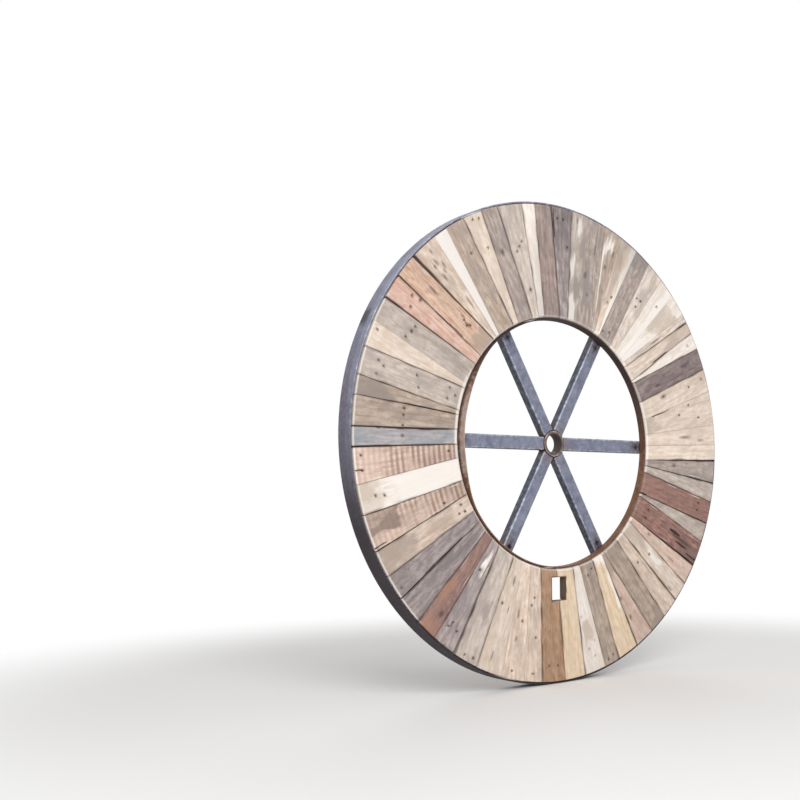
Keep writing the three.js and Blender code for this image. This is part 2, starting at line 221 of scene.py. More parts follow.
BUTTED = 0.7                     # gap in millimetres where boards were pushed tight together
BOARDS = (
    # 1 to 10, clockwise from the top
    Board("weathered_oak_mid_grey", 6.9, 4.5, fade=-0.45, sunk=1.5,
          nails=((0.9, -0.5), (0.9, 0.1), (0.66, 0.6)), splits=((0.72, 0.98, -0.88, 7),)),
    Board("pallet_pine_pale_grey", 5.5, 5.2, BUTTED, shade=0.88, knots=((0.93, -0.3, 26, 12),),
          wash=((0.0, 0.24, -1, 0.6), (0.4, 0.6, -1, -0.2), (0.82, 0.95, -0.4, 0.3)),
          coat=((0.24, 0.44, -0.2, 1), (0.62, 0.8, 0.0, 1))),
    Board("weathered_oak_ash_grey", 6.2, 11.1, BUTTED, shade=1.05, sunk=1.8,
          knots=((0.74, 0.15, 60, 8), (0.47, -0.6, 34, 14), (0.3, -0.1, 22, 10)),
          coat=((0.18, 0.48, -0.8, 0.4),)),
    Board("weathered_oak_tan", 5.6, 1.2, BUTTED, shade=1.03,
          knots=((0.8, 0.6, 40, 12), (0.64, -0.3, 22, 12)),
          wash=((0.0, 0.9, -1, -0.75), (0.78, 0.95, -0.8, 0.4)), coat=((0.12, 0.5, -0.5, 0.8),)),
    Board("rough_sawn_cream_pine", 6.2, 3.0, BUTTED, shade=0.92, fade=-0.5, nails=((0.42, 0.25),),
          knots=((0.42, 0.25, 18, 14), (0.35, -0.1, 14, 12)), wash=((0.0, 1.0, 0.45, 1),),
          coat=((0.3, 0.95, -0.9, 0.1),)),
    Board("weathered_oak_ash_grey", 5.3, 8.9, BUTTED, shade=1.02, sunk=2.2,
          nails=((0.11, 0.1), (0.08, -0.75)), coat=((0.8, 1.0, -1, 1),)),
    Board("pallet_pine_pale_grey", 6.1, 3.8, BUTTED, shade=1.28,
          nails=((0.62, -0.5), (0.63, 0.15), (0.54, -0.1)), coat=((0.6, 0.78, -0.5, 0.6),)),
    Board("sun_bleached_pine", 5.4, 5.1, BUTTED, sunk=0.6, nails=((0.75, 0.3),),
          wash=((0.0, 1.0, 0.1, 1),)),
    Board("sun_bleached_pine", 6.2, 2.0, BUTTED, shade=0.98, sunk=0.8, wash=((0.0, 0.42, -1, 1),),
          coat=((0.46, 0.93, -1, 1),)),
    Board("pallet_pine_pale_grey", 2.4, 2.4, 5, shade=1.34, knots=((0.5, 0, 60, 8),)),
    # 11 to 20
    Board("rough_sawn_cream_pine", 3.2, 8.2, shade=0.98, sunk=1.6, splits=((0.35, 0.62, 0.9, 5),),
          coat=((0.62, 1.0, -1, 1), (0.3, 0.7, 0.5, 1))),
    Board("sun_bleached_pine", 4.7, 1.1, shade=1.03, sunk=0.5, knots=((0.88, 0, 16, 12),)),
    Board("weathered_oak_dark_grey", 6.1, 10.5, shade=1.1, sunk=2.0,
          knots=((0.75, -0.2, 70, 16), (0.3, 0.3, 50, 12))),
    Board("rough_sawn_cream_pine", 6.3, 8.7, BUTTED, sunk=0.8, nails=((0.33, -0.45), (0.72, -0.2)),
          knots=((0.93, -0.35, 20, 14), (0.33, -0.45, 44, 22))),
    Board("rough_sawn_cream_pine", 9.3, 7.4, BUTTED, nails=((0.78, 0.35), (0.66, -0.7), (0.5, -0.2)),
          knots=((0.78, 0.35, 18, 12),), splits=((0.12, 0.36, -0.93, 4),), coat=((0.0, 0.2, -1, 1),)),
    Board("rough_sawn_cream_pine", 5.4, 5.6, BUTTED, shade=1.08,
          knots=((0.55, 0.0, 90, 14), (0.78, 0.5, 50, 10))),
    Board("rough_sawn_cream_pine", 4.5, 6.9, 9, shade=1.12, sunk=0.7),
    Board("weathered_oak_ash_grey", 6.3, 2.9, 6, shade=1.14, sunk=2.0, knots=((0.4, -0.2, 24, 18),)),
    Board("pallet_pine_pale_grey", 5.3, 3.2, shade=0.97, sunk=1.2),
    Board("sawn_meranti_red_brown", 6.1, 10.9, 5, sunk=1.5, nails=((0.82, 0.25), (0.82, -0.45)),
          splits=((0.0, 0.1, 0.93, 7),)),
    # 21 to 30
    Board("pallet_pine_pale_grey", 5.4, 1.2, shade=0.95, sunk=1.8, coat=((0.0, 0.3, -1, 0.4),)),
    Board("sawn_meranti_dark_red", 7.1, 11.7, 8, shade=1.08, sunk=1.3, nails=((0.17, 0.35), (0.17, -0.4)),
          knots=((0.17, 0.35, 24, 14), (0.72, 0.0, 150, 18)),
          splits=((0.52, 0.7, -0.24, 12), (0.66, 0.84, 0.34, 9), (0.84, 1.0, 0.66, 7)),
          coat=((0.72, 1.0, -0.4, 1),)),
    Board("rough_sawn_pink_beech", 6.1, 2.7, shade=1.1, knots=((0.3, -0.3, 24, 12), (0.7, 0.2, 50, 10))),
    Board("rough_sawn_cream_pine", 5.4, 7.2, 7, shade=0.96, sunk=0.9, nails=((0.42, 0.0),),
          knots=((0.86, 0.8, 40, 14),), wash=((0.35, 0.65, -0.8, 0.0),), coat=((0.0, 0.3, -1, 1),)),
    Board("pallet_pine_light_tan", 5.9, 5.5, shade=1.08, nails=((0.36, 0.0),),
          knots=((0.36, 0.0, 20, 12),)),
    Board("weathered_oak_tan", 5.9, 10.2, shade=0.91, sunk=1.9),
    Board("rough_sawn_pink_beech", 6.5, 1.4, 6, shade=0.98, knots=((0.5, 0.7, 22, 12), (0.72, 0.5, 26, 14)),
          coat=((0.0, 0.25, -1, 1),)),
    Board("rough_sawn_straw_pine", 7.2, 6.3, shade=1.06, sunk=0.6,
          wash=((0.0, 0.1, -1, 1), (0.0, 0.6, -1, -0.55))),
    Board("weathered_oak_tan", 4.9, 8.8, shade=0.92, sunk=1.7,
          nails=((0.08, -0.5), (0.13, 0.2), (0.93, -0.4), (0.95, 0.4))),
    Board("sun_bleached_pine", 7.0, 4.1, 5, shade=0.95,
          knots=((0.47, 0.7, 12, 8), (0.72, -0.5, 12, 8), (0.78, 0.3, 12, 10), (0.86, -0.2, 12, 8)),
          coat=((0.5, 0.7, -0.4, 0.9),)),
    # 31 to 40
    Board("rough_sawn_straw_pine", 6.6, 10.0, shade=1.04, sunk=0.8),
    Board("sawn_iroko_brown", 7.4, 9.8, shade=1.04, sunk=1.3, nails=((0.86, 0.4), (0.86, -0.4))),
    Board("pallet_pine_light_tan", 5.7, 6.0, BUTTED, shade=1.1,
          nails=((0.28, 0.1), (0.35, 0.5), (0.62, -0.2), (0.93, 0.1))),
    Board("pallet_pine_light_tan", 7.0, 4.6, BUTTED, shade=1.2, sunk=1.2, nails=((0.93, 0.2), (0.5, -0.3)),
          knots=((0.45, 0.3, 46, 10), (0.66, 0.2, 26, 10))),
    Board("rough_sawn_cream_pine", 7.8, 5.7, shade=0.96, nails=((0.42, 0.55),),
          knots=((0.2, -0.2, 46, 14), (0.42, 0.55, 18, 14), (0.45, -0.3, 30, 8), (0.86, 0.1, 40, 10))),
    Board("pallet_pine_pale_grey", 7.0, 9.4, 11, shade=1.04, nails=((0.95, -0.5), (0.96, 0.3)),
          coat=((0.45, 0.7, -0.5, 0.3),)),
    Board("weathered_oak_mid_grey", 6.6, 4.8, shade=1.18, sunk=2.2,
          nails=((0.84, -0.45), (0.8, 0.25), (0.85, 0.5), (0.3, 0.3)),
          knots=((0.84, -0.45, 12, 10), (0.82, 0.3, 26, 8)), wash=((0.14, 0.28, -0.6, 0.3),)),
    Board("meranti_with_old_red_paint", 5.9, 4.7, sunk=1.4,
          knots=((0.82, -0.35, 34, 22), (0.82, -0.35, 22, 14)),
          coat=((0.5, 0.78, 0.1, 1), (0.86, 1.0, -1, 0.8))),
    Board("weathered_oak_mid_grey", 6.6, 5.4, 6, shade=0.99, sunk=2.0, coat=((0.35, 0.6, -0.2, 1),)),
    Board("weathered_oak_mid_grey", 5.9, 5.4, shade=1.05, sunk=1.2, knots=((0.95, -0.4, 16, 12),),
          splits=((0.25, 0.75, -0.94, 4),)),
    # 41 to 50
    Board("pallet_pine_light_tan", 6.0, 7.8, 5, nails=((0.11, 0.45), (0.16, -0.3), (0.1, -0.45)),
          coat=((0.62, 1.0, -1, 1),)),
    Board("band_sawn_pink_beech", 8.2, 6.2, 2.4, shade=0.95, fade=0.25, sunk=0.9, nails=((0.26, -0.5),),
          splits=((0.88, 1.0, -0.84, 5),), coat=((0.7, 1.0, -0.2, 1),)),
    Board("sun_bleached_pine", 6.6, 9.8, 1.0, shade=0.97, sunk=0.4, nails=((0.86, 0.0), (0.78, -0.15)),
          wash=((0.0, 0.7, -1, 1),), coat=((0.76, 1.0, -1, 1),)),
    Board("band_sawn_pink_beech", 8.0, 5.6, 6, fade=0.3, sunk=0.9,
          nails=((0.94, 0.55), (0.94, -0.3), (0.11, 0.2)), splits=((0.93, 1.0, -0.25, 5),)),
    Board("blue_stained_pine", 4.3, 6.4, 5, shade=0.97, sunk=2.0, knots=((0.55, 0.1, 20, 16),),
          splits=((0.1, 0.8, 0.93, 5),)),
    Board("weathered_oak_tan", 6.7, 6.0, shade=0.97, sunk=1.1,
          nails=((0.55, 0.65), (0.55, 0.05), (0.55, -0.85))),
    Board("weathered_oak_tan", 4.3, 1.7, shade=0.97, sunk=1.8, splits=((0.05, 0.7, -0.92, 4),),
          coat=((0.7, 1.0, -1, 1),)),
    Board("pallet_pine_pale_grey", 6.3, 10.2, shade=0.99,
          nails=((0.86, 0.4), (0.8, 0.15), (0.85, -0.55), (0.49, 0.45), (0.45, -0.4), (0.16, 0.55),
                 (0.09, 0.1), (0.16, -0.4))),
    Board("rough_sawn_cream_pine", 6.0, 2.1, BUTTED, shade=0.98, sunk=0.5, nails=((0.95, 0.5),)),
    Board("pallet_pine_pale_grey", 6.0, 10.0, 8, shade=0.88, sunk=1.4,
          nails=((0.66, 0.5), (0.67, 0.0), (0.7, -0.65))),
    # 51 to 60
    Board("rough_sawn_salmon_cedar", 5.9, 4.6, 5, shade=0.95, sunk=0.8,
          nails=((0.82, 0.55), (0.74, 0.75), (0.78, -0.4))),
    Board("rough_sawn_orange_larch", 6.2, 10.5, 13, nails=((0.33, 0.3), (0.28, 0.1), (0.26, 0.35)),
          knots=((0.36, 0.45, 30, 12), (0.28, 0.2, 30, 16), (0.7, 0.2, 60, 14)),
          splits=((0.25, 0.42, -0.9, 4),), coat=((0.0, 0.2, -1, 1),)),
    Board("pallet_pine_light_tan", 7.3, 1.9, BUTTED,
          knots=((0.93, 0.1, 26, 10), (0.84, -0.1, 34, 12), (0.82, -0.4, 20, 14), (0.78, 0.35, 34, 12),
                 (0.74, 0.1, 26, 10), (0.7, -0.3, 40, 10), (0.4, 0.3, 60, 8))),
    Board("sun_bleached_pine", 4.0, 1.8, BUTTED, shade=0.88, sunk=0.3, wash=((0.0, 1.0, -1, 1),)),
    Board("weathered_oak_tan", 5.7, 9.5, sunk=1.5, nails=((0.72, 0.2),)),
    Board("rough_sawn_cream_pine", 5.7, 3.1, shade=0.97, sunk=0.7,
          nails=((0.96, -0.2), (0.95, 0.5), (0.7, 0.3))),
    Board("weathered_oak_ash_grey", 5.0, 9.0, shade=0.99, sunk=1.6, nails=((0.62, -0.1),),
          knots=((0.62, -0.1, 36, 20),)),
    Board("pallet_pine_pale_grey", 7.6, 3.5, shade=1.08, fade=-0.25,
          nails=((0.68, 0.4), (0.64, 0.0), (0.6, -0.4), (0.26, 0.2)), knots=((0.26, 0.2, 20, 16),)),
    Board("sun_bleached_pine", 4.0, 3.2, shade=0.9, fade=0.3, sunk=0.6),
    Board("weathered_beech_reddish_grey", 5.3, 9.6, 7, shade=0.93, sunk=1.6),
)
FIRST_BOARD = (-2.2, 0.9)        # clock angle where the first board starts, at the rim and the hoop
TRIMMED = (224, 228, 300, 304)   # zone where the boards were sawn to length last
SCRAPED = (256, 262, 296, 302)   # and the one where their faces are scraped pale along the hoop


def node_of_board(index):
    """CAD node that a front board is part of: boards share one in pairs, but not at the outlet."""
    single = f"front_board_{index + 1}"
    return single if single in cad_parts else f"front_boards_{index // 2 + 1:02d}"


# ------------------------------------------------------------------ settings


def length(name, description, millimetres):
    """A length property, given in millimetres."""
    return FloatProperty(
        name=name, description=description, default=millimetres * MM, min=0.0, unit="LENGTH", precision=4
    )


def colour(name, description, code):
    """A colour property, given as an sRGB hex code."""
    return FloatVectorProperty(
        name=name, description=description, default=linear(code), size=4, min=0, max=1, subtype="COLOR"
    )


def share(name, description, value):
    """A property between 0 and 1."""
    return FloatProperty(name=name, description=description, default=value, min=0, max=1, subtype="FACTOR")


def number(name, description, value):
    """A property whose description gives its unit."""
    return FloatProperty(name=name, description=description, default=value)


class DrumTimber(bpy.types.PropertyGroup):
    """Finish of one reclaimed timber."""

    name: StringProperty(name="Timber", description="What the timber is and how it was worked")
    base: colour("Base", "Colour of most of the face", "#c8b8a8")
    streak: colour("Streak", "Colour of the late wood and the dark streaks", "#a08c7c")
    pale: colour("Pale", "Colour of the early wood and worn ridges", "#ddd0c4")
    coat: colour("Coat", "Colour of the weathered skin or of old paint", "#a09890")
    contrast: share("Contrast", "Strength of the streaks", 0.5)
    cover: share("Cover", "Share of the face that the coat covers", 0.2)
    saw_marks: share("Saw marks", "Strength of the marks that a band saw left across the board", 0.0)
    fresh_cut: share("Fresh cut", "How pale the bevel sawn on the board's inner end still is", 0.8)


class DrumTimberSettings(bpy.types.PropertyGroup):
    """Sizes and colours of the boards."""

    board_gap: length("Board gap", "Usual gap between neighbouring boards", 1.2)
    rim_gap: length("Rim gap", "Clearance between the board ends and the rim", 3.0)
    hoop_gap: length("Hoop gap", "Clearance between the board ends and the inner hoop", 1.5)
    rim_thickness: length("Rim thickness", "Thickness of the flat bar that the boards end at", 6.0)
    end_bevel: length("End bevel", "Bevel sawn on the inner ends, round the middle opening", 12.0)
    worn_edge: length("Worn edge", "Radius that handling has worn on the board edges", 1.6)
    mesh_step: length("Mesh step", "Usual distance between the points of a board's face", 6.0)
    outlet_width: length("Outlet width", "Width of the cable outlet", 76.0)
    outlet_height: length("Outlet height", "Height of the cable outlet, along its radius", 96.0)
    outlet_radius: length("Outlet radius", "Distance of the outlet's centre from the drum axis", 607.0)
    outlet_angle: number("Outlet angle", "Clock angle of the cable outlet, in degrees", 181.2)
    cross_rows: IntProperty(
        name="Cross boards", description="Crosswise boards in each sector of the back", default=5, min=3
    )
    nail_head: length("Nail head", "Diameter of a nail's head", 7.0)
    old_nail: colour("Nail", "Rusted iron of the nails", "#33261f")
    nail_rust: colour("Nail rust", "Lighter rust in clouds on the nails", "#5b4032")
    # Also laid as painted shade along the hoop and round the cable outlet.
    stain: colour("Stain", "Dark brown of knots, splits and nail rust", "#3b2923")
    saw_stroke: colour("Saw stroke", "Wood burnt brown by the band saw", "#846757")
    bleach: colour("Bleach", "Nearly white wood where lime and sun have bleached it", "#f5eee7")
    fresh: colour("Fresh cut", "Newly sawn wood on the board ends", "#efe6de")
    timbers: CollectionProperty(type=DrumTimber)


class DrumSteelSettings(bpy.types.PropertyGroup):
    """Sizes and colours of the steelwork."""

    rim_thickness: length("Rim thickness", "Thickness of the outer rim's flat bar", 6.0)
    rim_edge: length("Rim edge", "Radius of the rolled bar's edges", 1.2)
    rim_joint: number("Rim joint", "Clock angle of the rim's butt weld, in degrees", 296.0)
    hoop_thickness: length("Hoop thickness", "Thickness of the inner hoop's flat bar", 5.0)
    hoop_bend: length("Hoop bend", "How far the front of the hoop is bent in at the left", 22.0)
    hub_bore: length("Hub bore", "Inside diameter of the hub tube", 82.0)
    hub_edge: length("Hub edge", "Chamfer on the ends of the hub tube", 1.5)
    spoke_wall: length("Spoke wall", "Wall of the folded channel", 5.0)
    spoke_bend: length("Spoke bend", "Outside radius of the channel's folds", 8.0)
    tie_rod_hole: length("Tie rod hole", "Diameter of the hole near each spoke's end", 18.0)
    tie_rod_radius: length("Tie rod radius", "Distance of those holes from the drum axis", 490.0)
    weld_size: length("Weld size", "Radius of a weld bead", 3.2)
    mill_scale: colour("Mill scale", "Blue-grey skin of hot-rolled bar", "#979cb0")
    mill_scale_dark: colour("Dark mill scale", "Purplish brown scale away from the worn edge", "#665c6c")
    worn_steel: colour("Worn steel", "Scuffed edges of bar and channel", "#b4bac5")
    spoke_scale: colour("Spoke scale", "Pale blue-grey skin of the channels", "#7f8397")
    # Painted shade: a dark navy that stands in for the shadow on the channel sides behind the web.
    spoke_side_shade: colour("Spoke side", "Dark navy scale on the sides of the channels", "#3b3f4a")
    tube_scale: colour("Tube scale", "Brown-grey scale of the hub tube", "#746a68")
    rust: colour("Rust", "Even brown rust of the hoop", "#80583f")
    rust_dark: colour("Dark rust", "Old dark rust and grime", "#3e2a26")
    rust_bright: colour("Bright rust", "Fresh orange rust", "#96684a")
    rust_dusty: colour("Dusty rust", "Rust rubbed pale and dusty", "#b09b91")
    # Also painted shade: this colour darkens the rim's lower half and the hoop's bent part near the boards.
    grime_and_shade: colour("Grime", "Soot and old grease on the steel", "#281d1f")


class DrumStageSettings(bpy.types.PropertyGroup):
    """Floor, light and camera."""

    floor: colour("Floor", "Plain pale floor", "#f2f1f0")
    sky_level: number("Sky", "Strength of the even light from all round", 0.50)
    key_level: number("Key", "Power of the large lamp in front, in watts", 269.0)
    fill_level: number("Fill", "Power of the lamp behind, in watts", 96.0)
    camera_place: FloatVectorProperty(
        name="Camera", description="Where the camera stands", default=(-2.953, -3.359, 0.743), subtype="XYZ"
    )
    camera_yaw: number("Yaw", "Degrees to the right of straight ahead", 40.83)
    camera_pitch: number("Pitch", "Degrees above level", 0.81)
    camera_roll: number("Roll", "Degrees of lean to the right", 0.503)
    lens: number("Lens", "Focal length in millimetres on 36 mm film", 47.84)
    lens_shift: FloatVectorProperty(
        name="Lens shift", description="Shift of the lens in frame widths, to the right and up", size=2,
        default=(-0.1809, 0.1122),
    )


# ------------------------------------------------------------------ material tools

MIX_A, MIX_B, MIX_RESULT = 6, 7, 2     # colour sockets of a Mix node


def add_node(tree, kind, inputs=None, **settings):
    """Adds a node with its settings, and sets or links its inputs."""
    node = tree.nodes.new("ShaderNode" + kind)
    for name, value in settings.items():
        setattr(node, name, value)
    for name, value in (inputs or {}).items():
        if isinstance(value, bpy.types.NodeSocket):
            tree.links.new(value, node.inputs[name])
        else:
            node.inputs[name].default_value = value
    return node


def empty_nodes(owner):
    """Empties the node tree of a material or the world, and returns the function that adds nodes to it."""
    owner.use_nodes = True
    owner.node_tree.nodes.clear()
    return functools.partial(add_node, owner.node_tree)


def new_material(name):
    """An empty node material, and the function that adds nodes to it."""
    material = bpy.data.materials.new(name)
    return material, empty_nodes(material)


def seen_white(add):
    """1 for the rays that see plain white behind the drum: the camera's and those of gloss and glass."""
    rays = add("LightPath").outputs
    seen = add("Math", {0: rays["Is Camera Ray"], 1: rays["Is Glossy Ray"]}, operation="ADD").outputs[0]
    through = rays["Is Transmission Ray"]
    return add("Math", {0: seen, 1: through}, operation="ADD", use_clamp=True).outputs[0]


def per_metre(size):
    """Scale of a pattern whose grain is a size in millimetres along each axis."""
    return [1 / (value * MM) for value in size]


def pattern(add, place, size, detail, low, high):
    """A soft pattern from 0 to 1, whose grain is a size in millimetres along each axis."""
    scaled = add("Mapping", {"Vector": place, "Scale": per_metre(size)})
    cloud = add("TexNoise", {"Vector": scaled.outputs[0], "Scale": 1.0, "Detail": detail, "Roughness": 0.6})
    return add("MapRange", {"Value": cloud.outputs[0], "From Min": low, "From Max": high},
               interpolation_type="SMOOTHSTEP").outputs[0]


def torn_patch(add, amount, cloud):
    """A painted patch, which is full where amount is 1, with its edge torn along a pattern."""
    edge = add("Math", {0: cloud, 1: 0.6, 2: amount}, operation="MULTIPLY_ADD")
    return add("MapRange", {"Value": edge.outputs[0], "From Min": 0.6, "From Max": 1.25},
               interpolation_type="SMOOTHSTEP").outputs[0]


def lay_colours(add, ground, layers):
    """Lays colours over a ground, each as strong as its pattern times its strength."""
    for cover, strength, paint in layers:
        part = add("Math", {0: cover, 1: strength}, operation="MULTIPLY").outputs[0]
        over = add("Mix", {0: part, MIX_A: ground, MIX_B: list(paint)}, data_type="RGBA")
        ground = over.outputs[MIX_RESULT]
    return ground


# Patterns of a timber: their grain in millimetres, as it is on a real board, across it, along it and
# through it; then the detail of the noise, and the values of it where the pattern starts and is full.
FIBRE = (3.6, 110.0, 1000.0), 3.0, 0.30, 0.70      # fibre bundles, drawn as coarse as they need to show
STRIPE = (11.0, 460.0, 1000.0), 3.0, 0.32, 0.68    # early and late wood on a sawn face
BAND = (34.0, 700.0, 1000.0), 3.0, 0.40, 0.62      # heartwood and sapwood
RUN = (13.0, 190.0, 1000.0), 4.0, 0.50, 0.68       # dirt washed along the grain
PATCH = (60.0, 140.0, 1000.0), 6.0, 0.42, 0.64     # patches of weather
MOTTLE = (16.0, 46.0, 1000.0), 4.0, 0.40, 0.66     # worn ridges and damp, which follow the grain
SMUDGE = (16.0, 46.0, 1000.0), 5.0, 0.50, 0.70     # dirt from handling, which doesn't
SPECK = (6.0, 9.0, 1000.0), 2.0, 0.58, 0.74        # dirt and pores
STROKE = (150.0, 60.0, 1000.0), 3.0, 0.32, 0.60    # how far a saw mark is pressed evenly
DRIFT = (90.0, 300.0, 1000.0)    # millimetres over which the grain wanders off line
WANDER = (20.0, 40.0, 0.0)       # and how far it does
SAW_PITCH = 24.0                 # millimetres between the marks of a band saw
STROKE_SCALE = 0.314             # wave texture scale at which one stroke is one unit long
STROKE_WAVER = 14.0              # how fast the strokes waver across the board


def timber_material(timber, settings):
    """Sawn, reclaimed board: soft matt wood with long streaks, patches of weather and old stains."""
    material, add = new_material(timber.name)
    flat = add("UVMap", uv_map="grain").outputs["UV"]
    wear = add("Attribute", attribute_name="wear")
    marks = add("SeparateColor", {"Color": wear.outputs["Color"]}).outputs
    shade = add("Attribute", attribute_name="shade").outputs["Fac"]
    slow = add("Mapping", {"Vector": flat, "Scale": per_metre(DRIFT)})
    drift = add("TexNoise", {"Vector": slow.outputs[0], "Scale": 1.0, "Detail": 1.0}).outputs["Color"]
    grain = add("VectorMath", {0: drift, 1: [value * MM for value in WANDER], 2: flat},
                operation="MULTIPLY_ADD").outputs[0]
    in_grain = (FIBRE, STRIPE, BAND, RUN, PATCH, MOTTLE)
    fibre, stripe, band, run, patch, mottle = (pattern(add, grain, *values) for values in in_grain)
    smudge = pattern(add, flat, *SMUDGE)
    speck = pattern(add, grain, *SPECK)
    wood = lay_colours(add, list(timber.base), (
        (stripe, 0.90 * timber.contrast, timber.streak),
        (band, 1.00 * timber.contrast, timber.streak),
        (mottle, 1.05 * timber.contrast, timber.pale),
        (fibre, 0.60 * timber.contrast, timber.pale),
        (patch, 2.4 * timber.cover, timber.coat),
        (run, 0.50, timber.streak),
        (smudge, 0.60, timber.streak),
        (speck, 0.30, timber.streak),
    ))
    if timber.saw_marks > 0:
        strokes = add("Mapping", {"Vector": flat, "Scale": (STROKE_WAVER, 1 / (SAW_PITCH * MM), 1)})
        stroke = add("TexWave", {"Vector": strokes.outputs[0], "Scale": STROKE_SCALE, "Distortion": 1.0,
                                 "Detail": 1.0, "Detail Scale": 0.6}, bands_direction="Y")
        sharp = add("MapRange", {"Value": stroke.outputs["Fac"], "From Min": 0.10, "From Max": 0.85},
                    interpolation_type="SMOOTHSTEP").outputs[0]
        pressed = pattern(add, flat, *STROKE)
        sawn = add("Attribute", attribute_name="sawn").outputs["Fac"]
        cut = add("Math", {0: sharp, 1: pressed}, operation="MULTIPLY").outputs[0]
        cut = add("Math", {0: cut, 1: sawn}, operation="MULTIPLY").outputs[0]
        wood = lay_colours(add, wood, ((cut, timber.saw_marks, settings.saw_stroke),))
    wood = lay_colours(add, wood, (
        (torn_patch(add, marks["Green"], fibre), 0.8, settings.bleach),
        (torn_patch(add, marks["Blue"], patch), 0.8, timber.coat),
        (wear.outputs["Alpha"], 1.0, settings.fresh),
        # Red is stain, and painted shade along the hoop and round the cable outlet.
        (marks["Red"], 1.0, settings.stain),
    ))
    toned = add("Mix", {0: 1.0, MIX_A: wood, MIX_B: shade}, data_type="RGBA", blend_type="MULTIPLY")
    rough = add("MapRange", {"Value": fibre, "To Min": 0.75, "To Max": 0.92}).outputs[0]
    relief = add("Bump", {"Height": fibre, "Strength": 0.35, "Distance": 0.8 * MM})
    skin = add("BsdfPrincipled", {"Base Color": toned.outputs[MIX_RESULT], "Roughness": rough, "IOR": 1.5,
                                  "Specular IOR Level": 0.25, "Normal": relief.outputs[0]})
    add("OutputMaterial", {"Surface": skin.outputs[0]})
    return material


# Patterns of a steel, given as those of a timber are.
CLOUD = [60.0] * 3, 6.0, 0.36, 0.66    # the two tones of its scale
SCUFF = [20.0] * 3, 5.0, 0.42, 0.74


def steel_material(name, main, second, worn, rust, grime_and_shade, rust_cover, rust_size, roughness, metallic):
    """Bare steel: a skin of two tones with scuffs, rust in patches, and what the wear attribute says.

    In the attribute red is grime and painted shade, green is worn bright (on the hoop also painted light),
    blue is the second tone (painted shade on the spokes) and alpha is rust.
    rust_cover is the share that rusts by itself, and rust_size the grain of its patches in millimetres.
    """
    material, add = new_material(name)
    place = add("TexCoord").outputs["Object"]
    wear = add("Attribute", attribute_name="wear")
    marks = add("SeparateColor", {"Color": wear.outputs["Color"]}).outputs
    cloud = pattern(add, place, *CLOUD)
    scuff = pattern(add, place, *SCUFF)
    spots = pattern(add, place, [rust_size] * 3, 6.0, 0.62 - 0.25 * rust_cover, 0.74 - 0.2 * rust_cover)
    skin = lay_colours(add, list(main), (
        (cloud, 0.4, second),
        (marks["Blue"], 1.0, second),
        (scuff, 0.25, worn),
        (spots, min(1.0, 0.35 + rust_cover), rust),
        (torn_patch(add, marks["Green"], scuff), 1.0, worn),
        (wear.outputs["Alpha"], 1.0, rust),
        (marks["Red"], 1.0, grime_and_shade),
    ))
    rough = add("MapRange", {"Value": spots, "To Min": roughness, "To Max": 0.9}).outputs[0]
    matt = add("Math", {0: rough, 1: marks["Red"]}, operation="MAXIMUM").outputs[0]
    bare = add("Math", {0: marks["Red"], 1: -metallic, 2: metallic}, operation="MULTIPLY_ADD").outputs[0]
    relief = add("Bump", {"Height": cloud, "Strength": 0.3, "Distance": 0.6 * MM})
    shader = add("BsdfPrincipled", {"Base Color": skin, "Roughness": matt, "Metallic": bare,
                                    "Normal": relief.outputs[0]})
    add("OutputMaterial", {"Surface": shader.outputs[0]})
    return material


# ------------------------------------------------------------------ mesh tools


def new_object(name, bm, material):
    """Turns a bmesh into an object of one material."""
    mesh = bpy.data.meshes.new(name)
    bm.to_mesh(mesh)
    bm.free()
    mesh.materials.append(bpy.data.materials[material])
    made = bpy.data.objects.new(name, mesh)
    bpy.context.scene.collection.objects.link(made)
    return made


def finish_piece(name, bm, material, nodes):
    """Turns a bmesh into a piece, which rides on the flange in place of its CAD nodes."""
    piece = new_object(name, bm, material)
    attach(piece, "root")
    if nodes:
        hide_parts(*nodes)
    return piece


def extrude_open(bm, edges):
    """Extrudes edges, and returns the new vertices and the open edges."""
    made = bmesh.ops.extrude_edge_only(bm, edges=edges)["geom"]
    verts = [item for item in made if isinstance(item, bmesh.types.BMVert)]
    return verts, [item for item in made if isinstance(item, bmesh.types.BMEdge) and item.is_boundary]


def face_outwards(bm, smooth_faces=True):
    """Turns every face outwards, and shades it smooth or flat."""
    for face in bm.faces:
        face.smooth = smooth_faces
    bmesh.ops.recalc_face_normals(bm, faces=bm.faces)


def saw(bm, point, normal, **settings):
    """Cuts a whole mesh along a plane."""
    bmesh.ops.bisect_plane(bm, geom=bm.verts[:] + bm.edges[:] + bm.faces[:], dist=TOUCH,
                           plane_co=point, plane_no=normal, **settings)


def station(index, count, whole, start, end):
    """Distance of a grid line along a board: close lines near each end, the rest even.

    start and end are the close lines' distances from their own end, the nearest first.
    """
    room = min(1.0, whole / 3 / max(start[-1], end[-1]))
    if index < len(start):
        return start[index] * room
    if count - index < len(end):
        return whole - end[count - index] * room
    first, last = start[-1] * room, whole - end[-1] * room
    return mix(first, last, (index - len(start) + 1) / (count - len(start) - len(end) + 2))


def edge_round(distance, radius):
    """Depth of a worn edge at a distance from it."""
    if distance >= radius:
        return 0.0
    return radius - math.sqrt(max(radius**2 - (radius - distance) ** 2, 0.0))


def close_board(bm, depth):
    """Gives a board's face its sides and its back, at a depth along the drum axis."""
    low, loop = extrude_open(bm, [edge for edge in bm.edges if edge.is_boundary])
    for vert in low:
        vert.co.y = depth
    bmesh.ops.triangle_fill(bm, use_beauty=True, edges=loop, normal=Vector((0, 1, 0)))
    face_outwards(bm, smooth_faces=False)


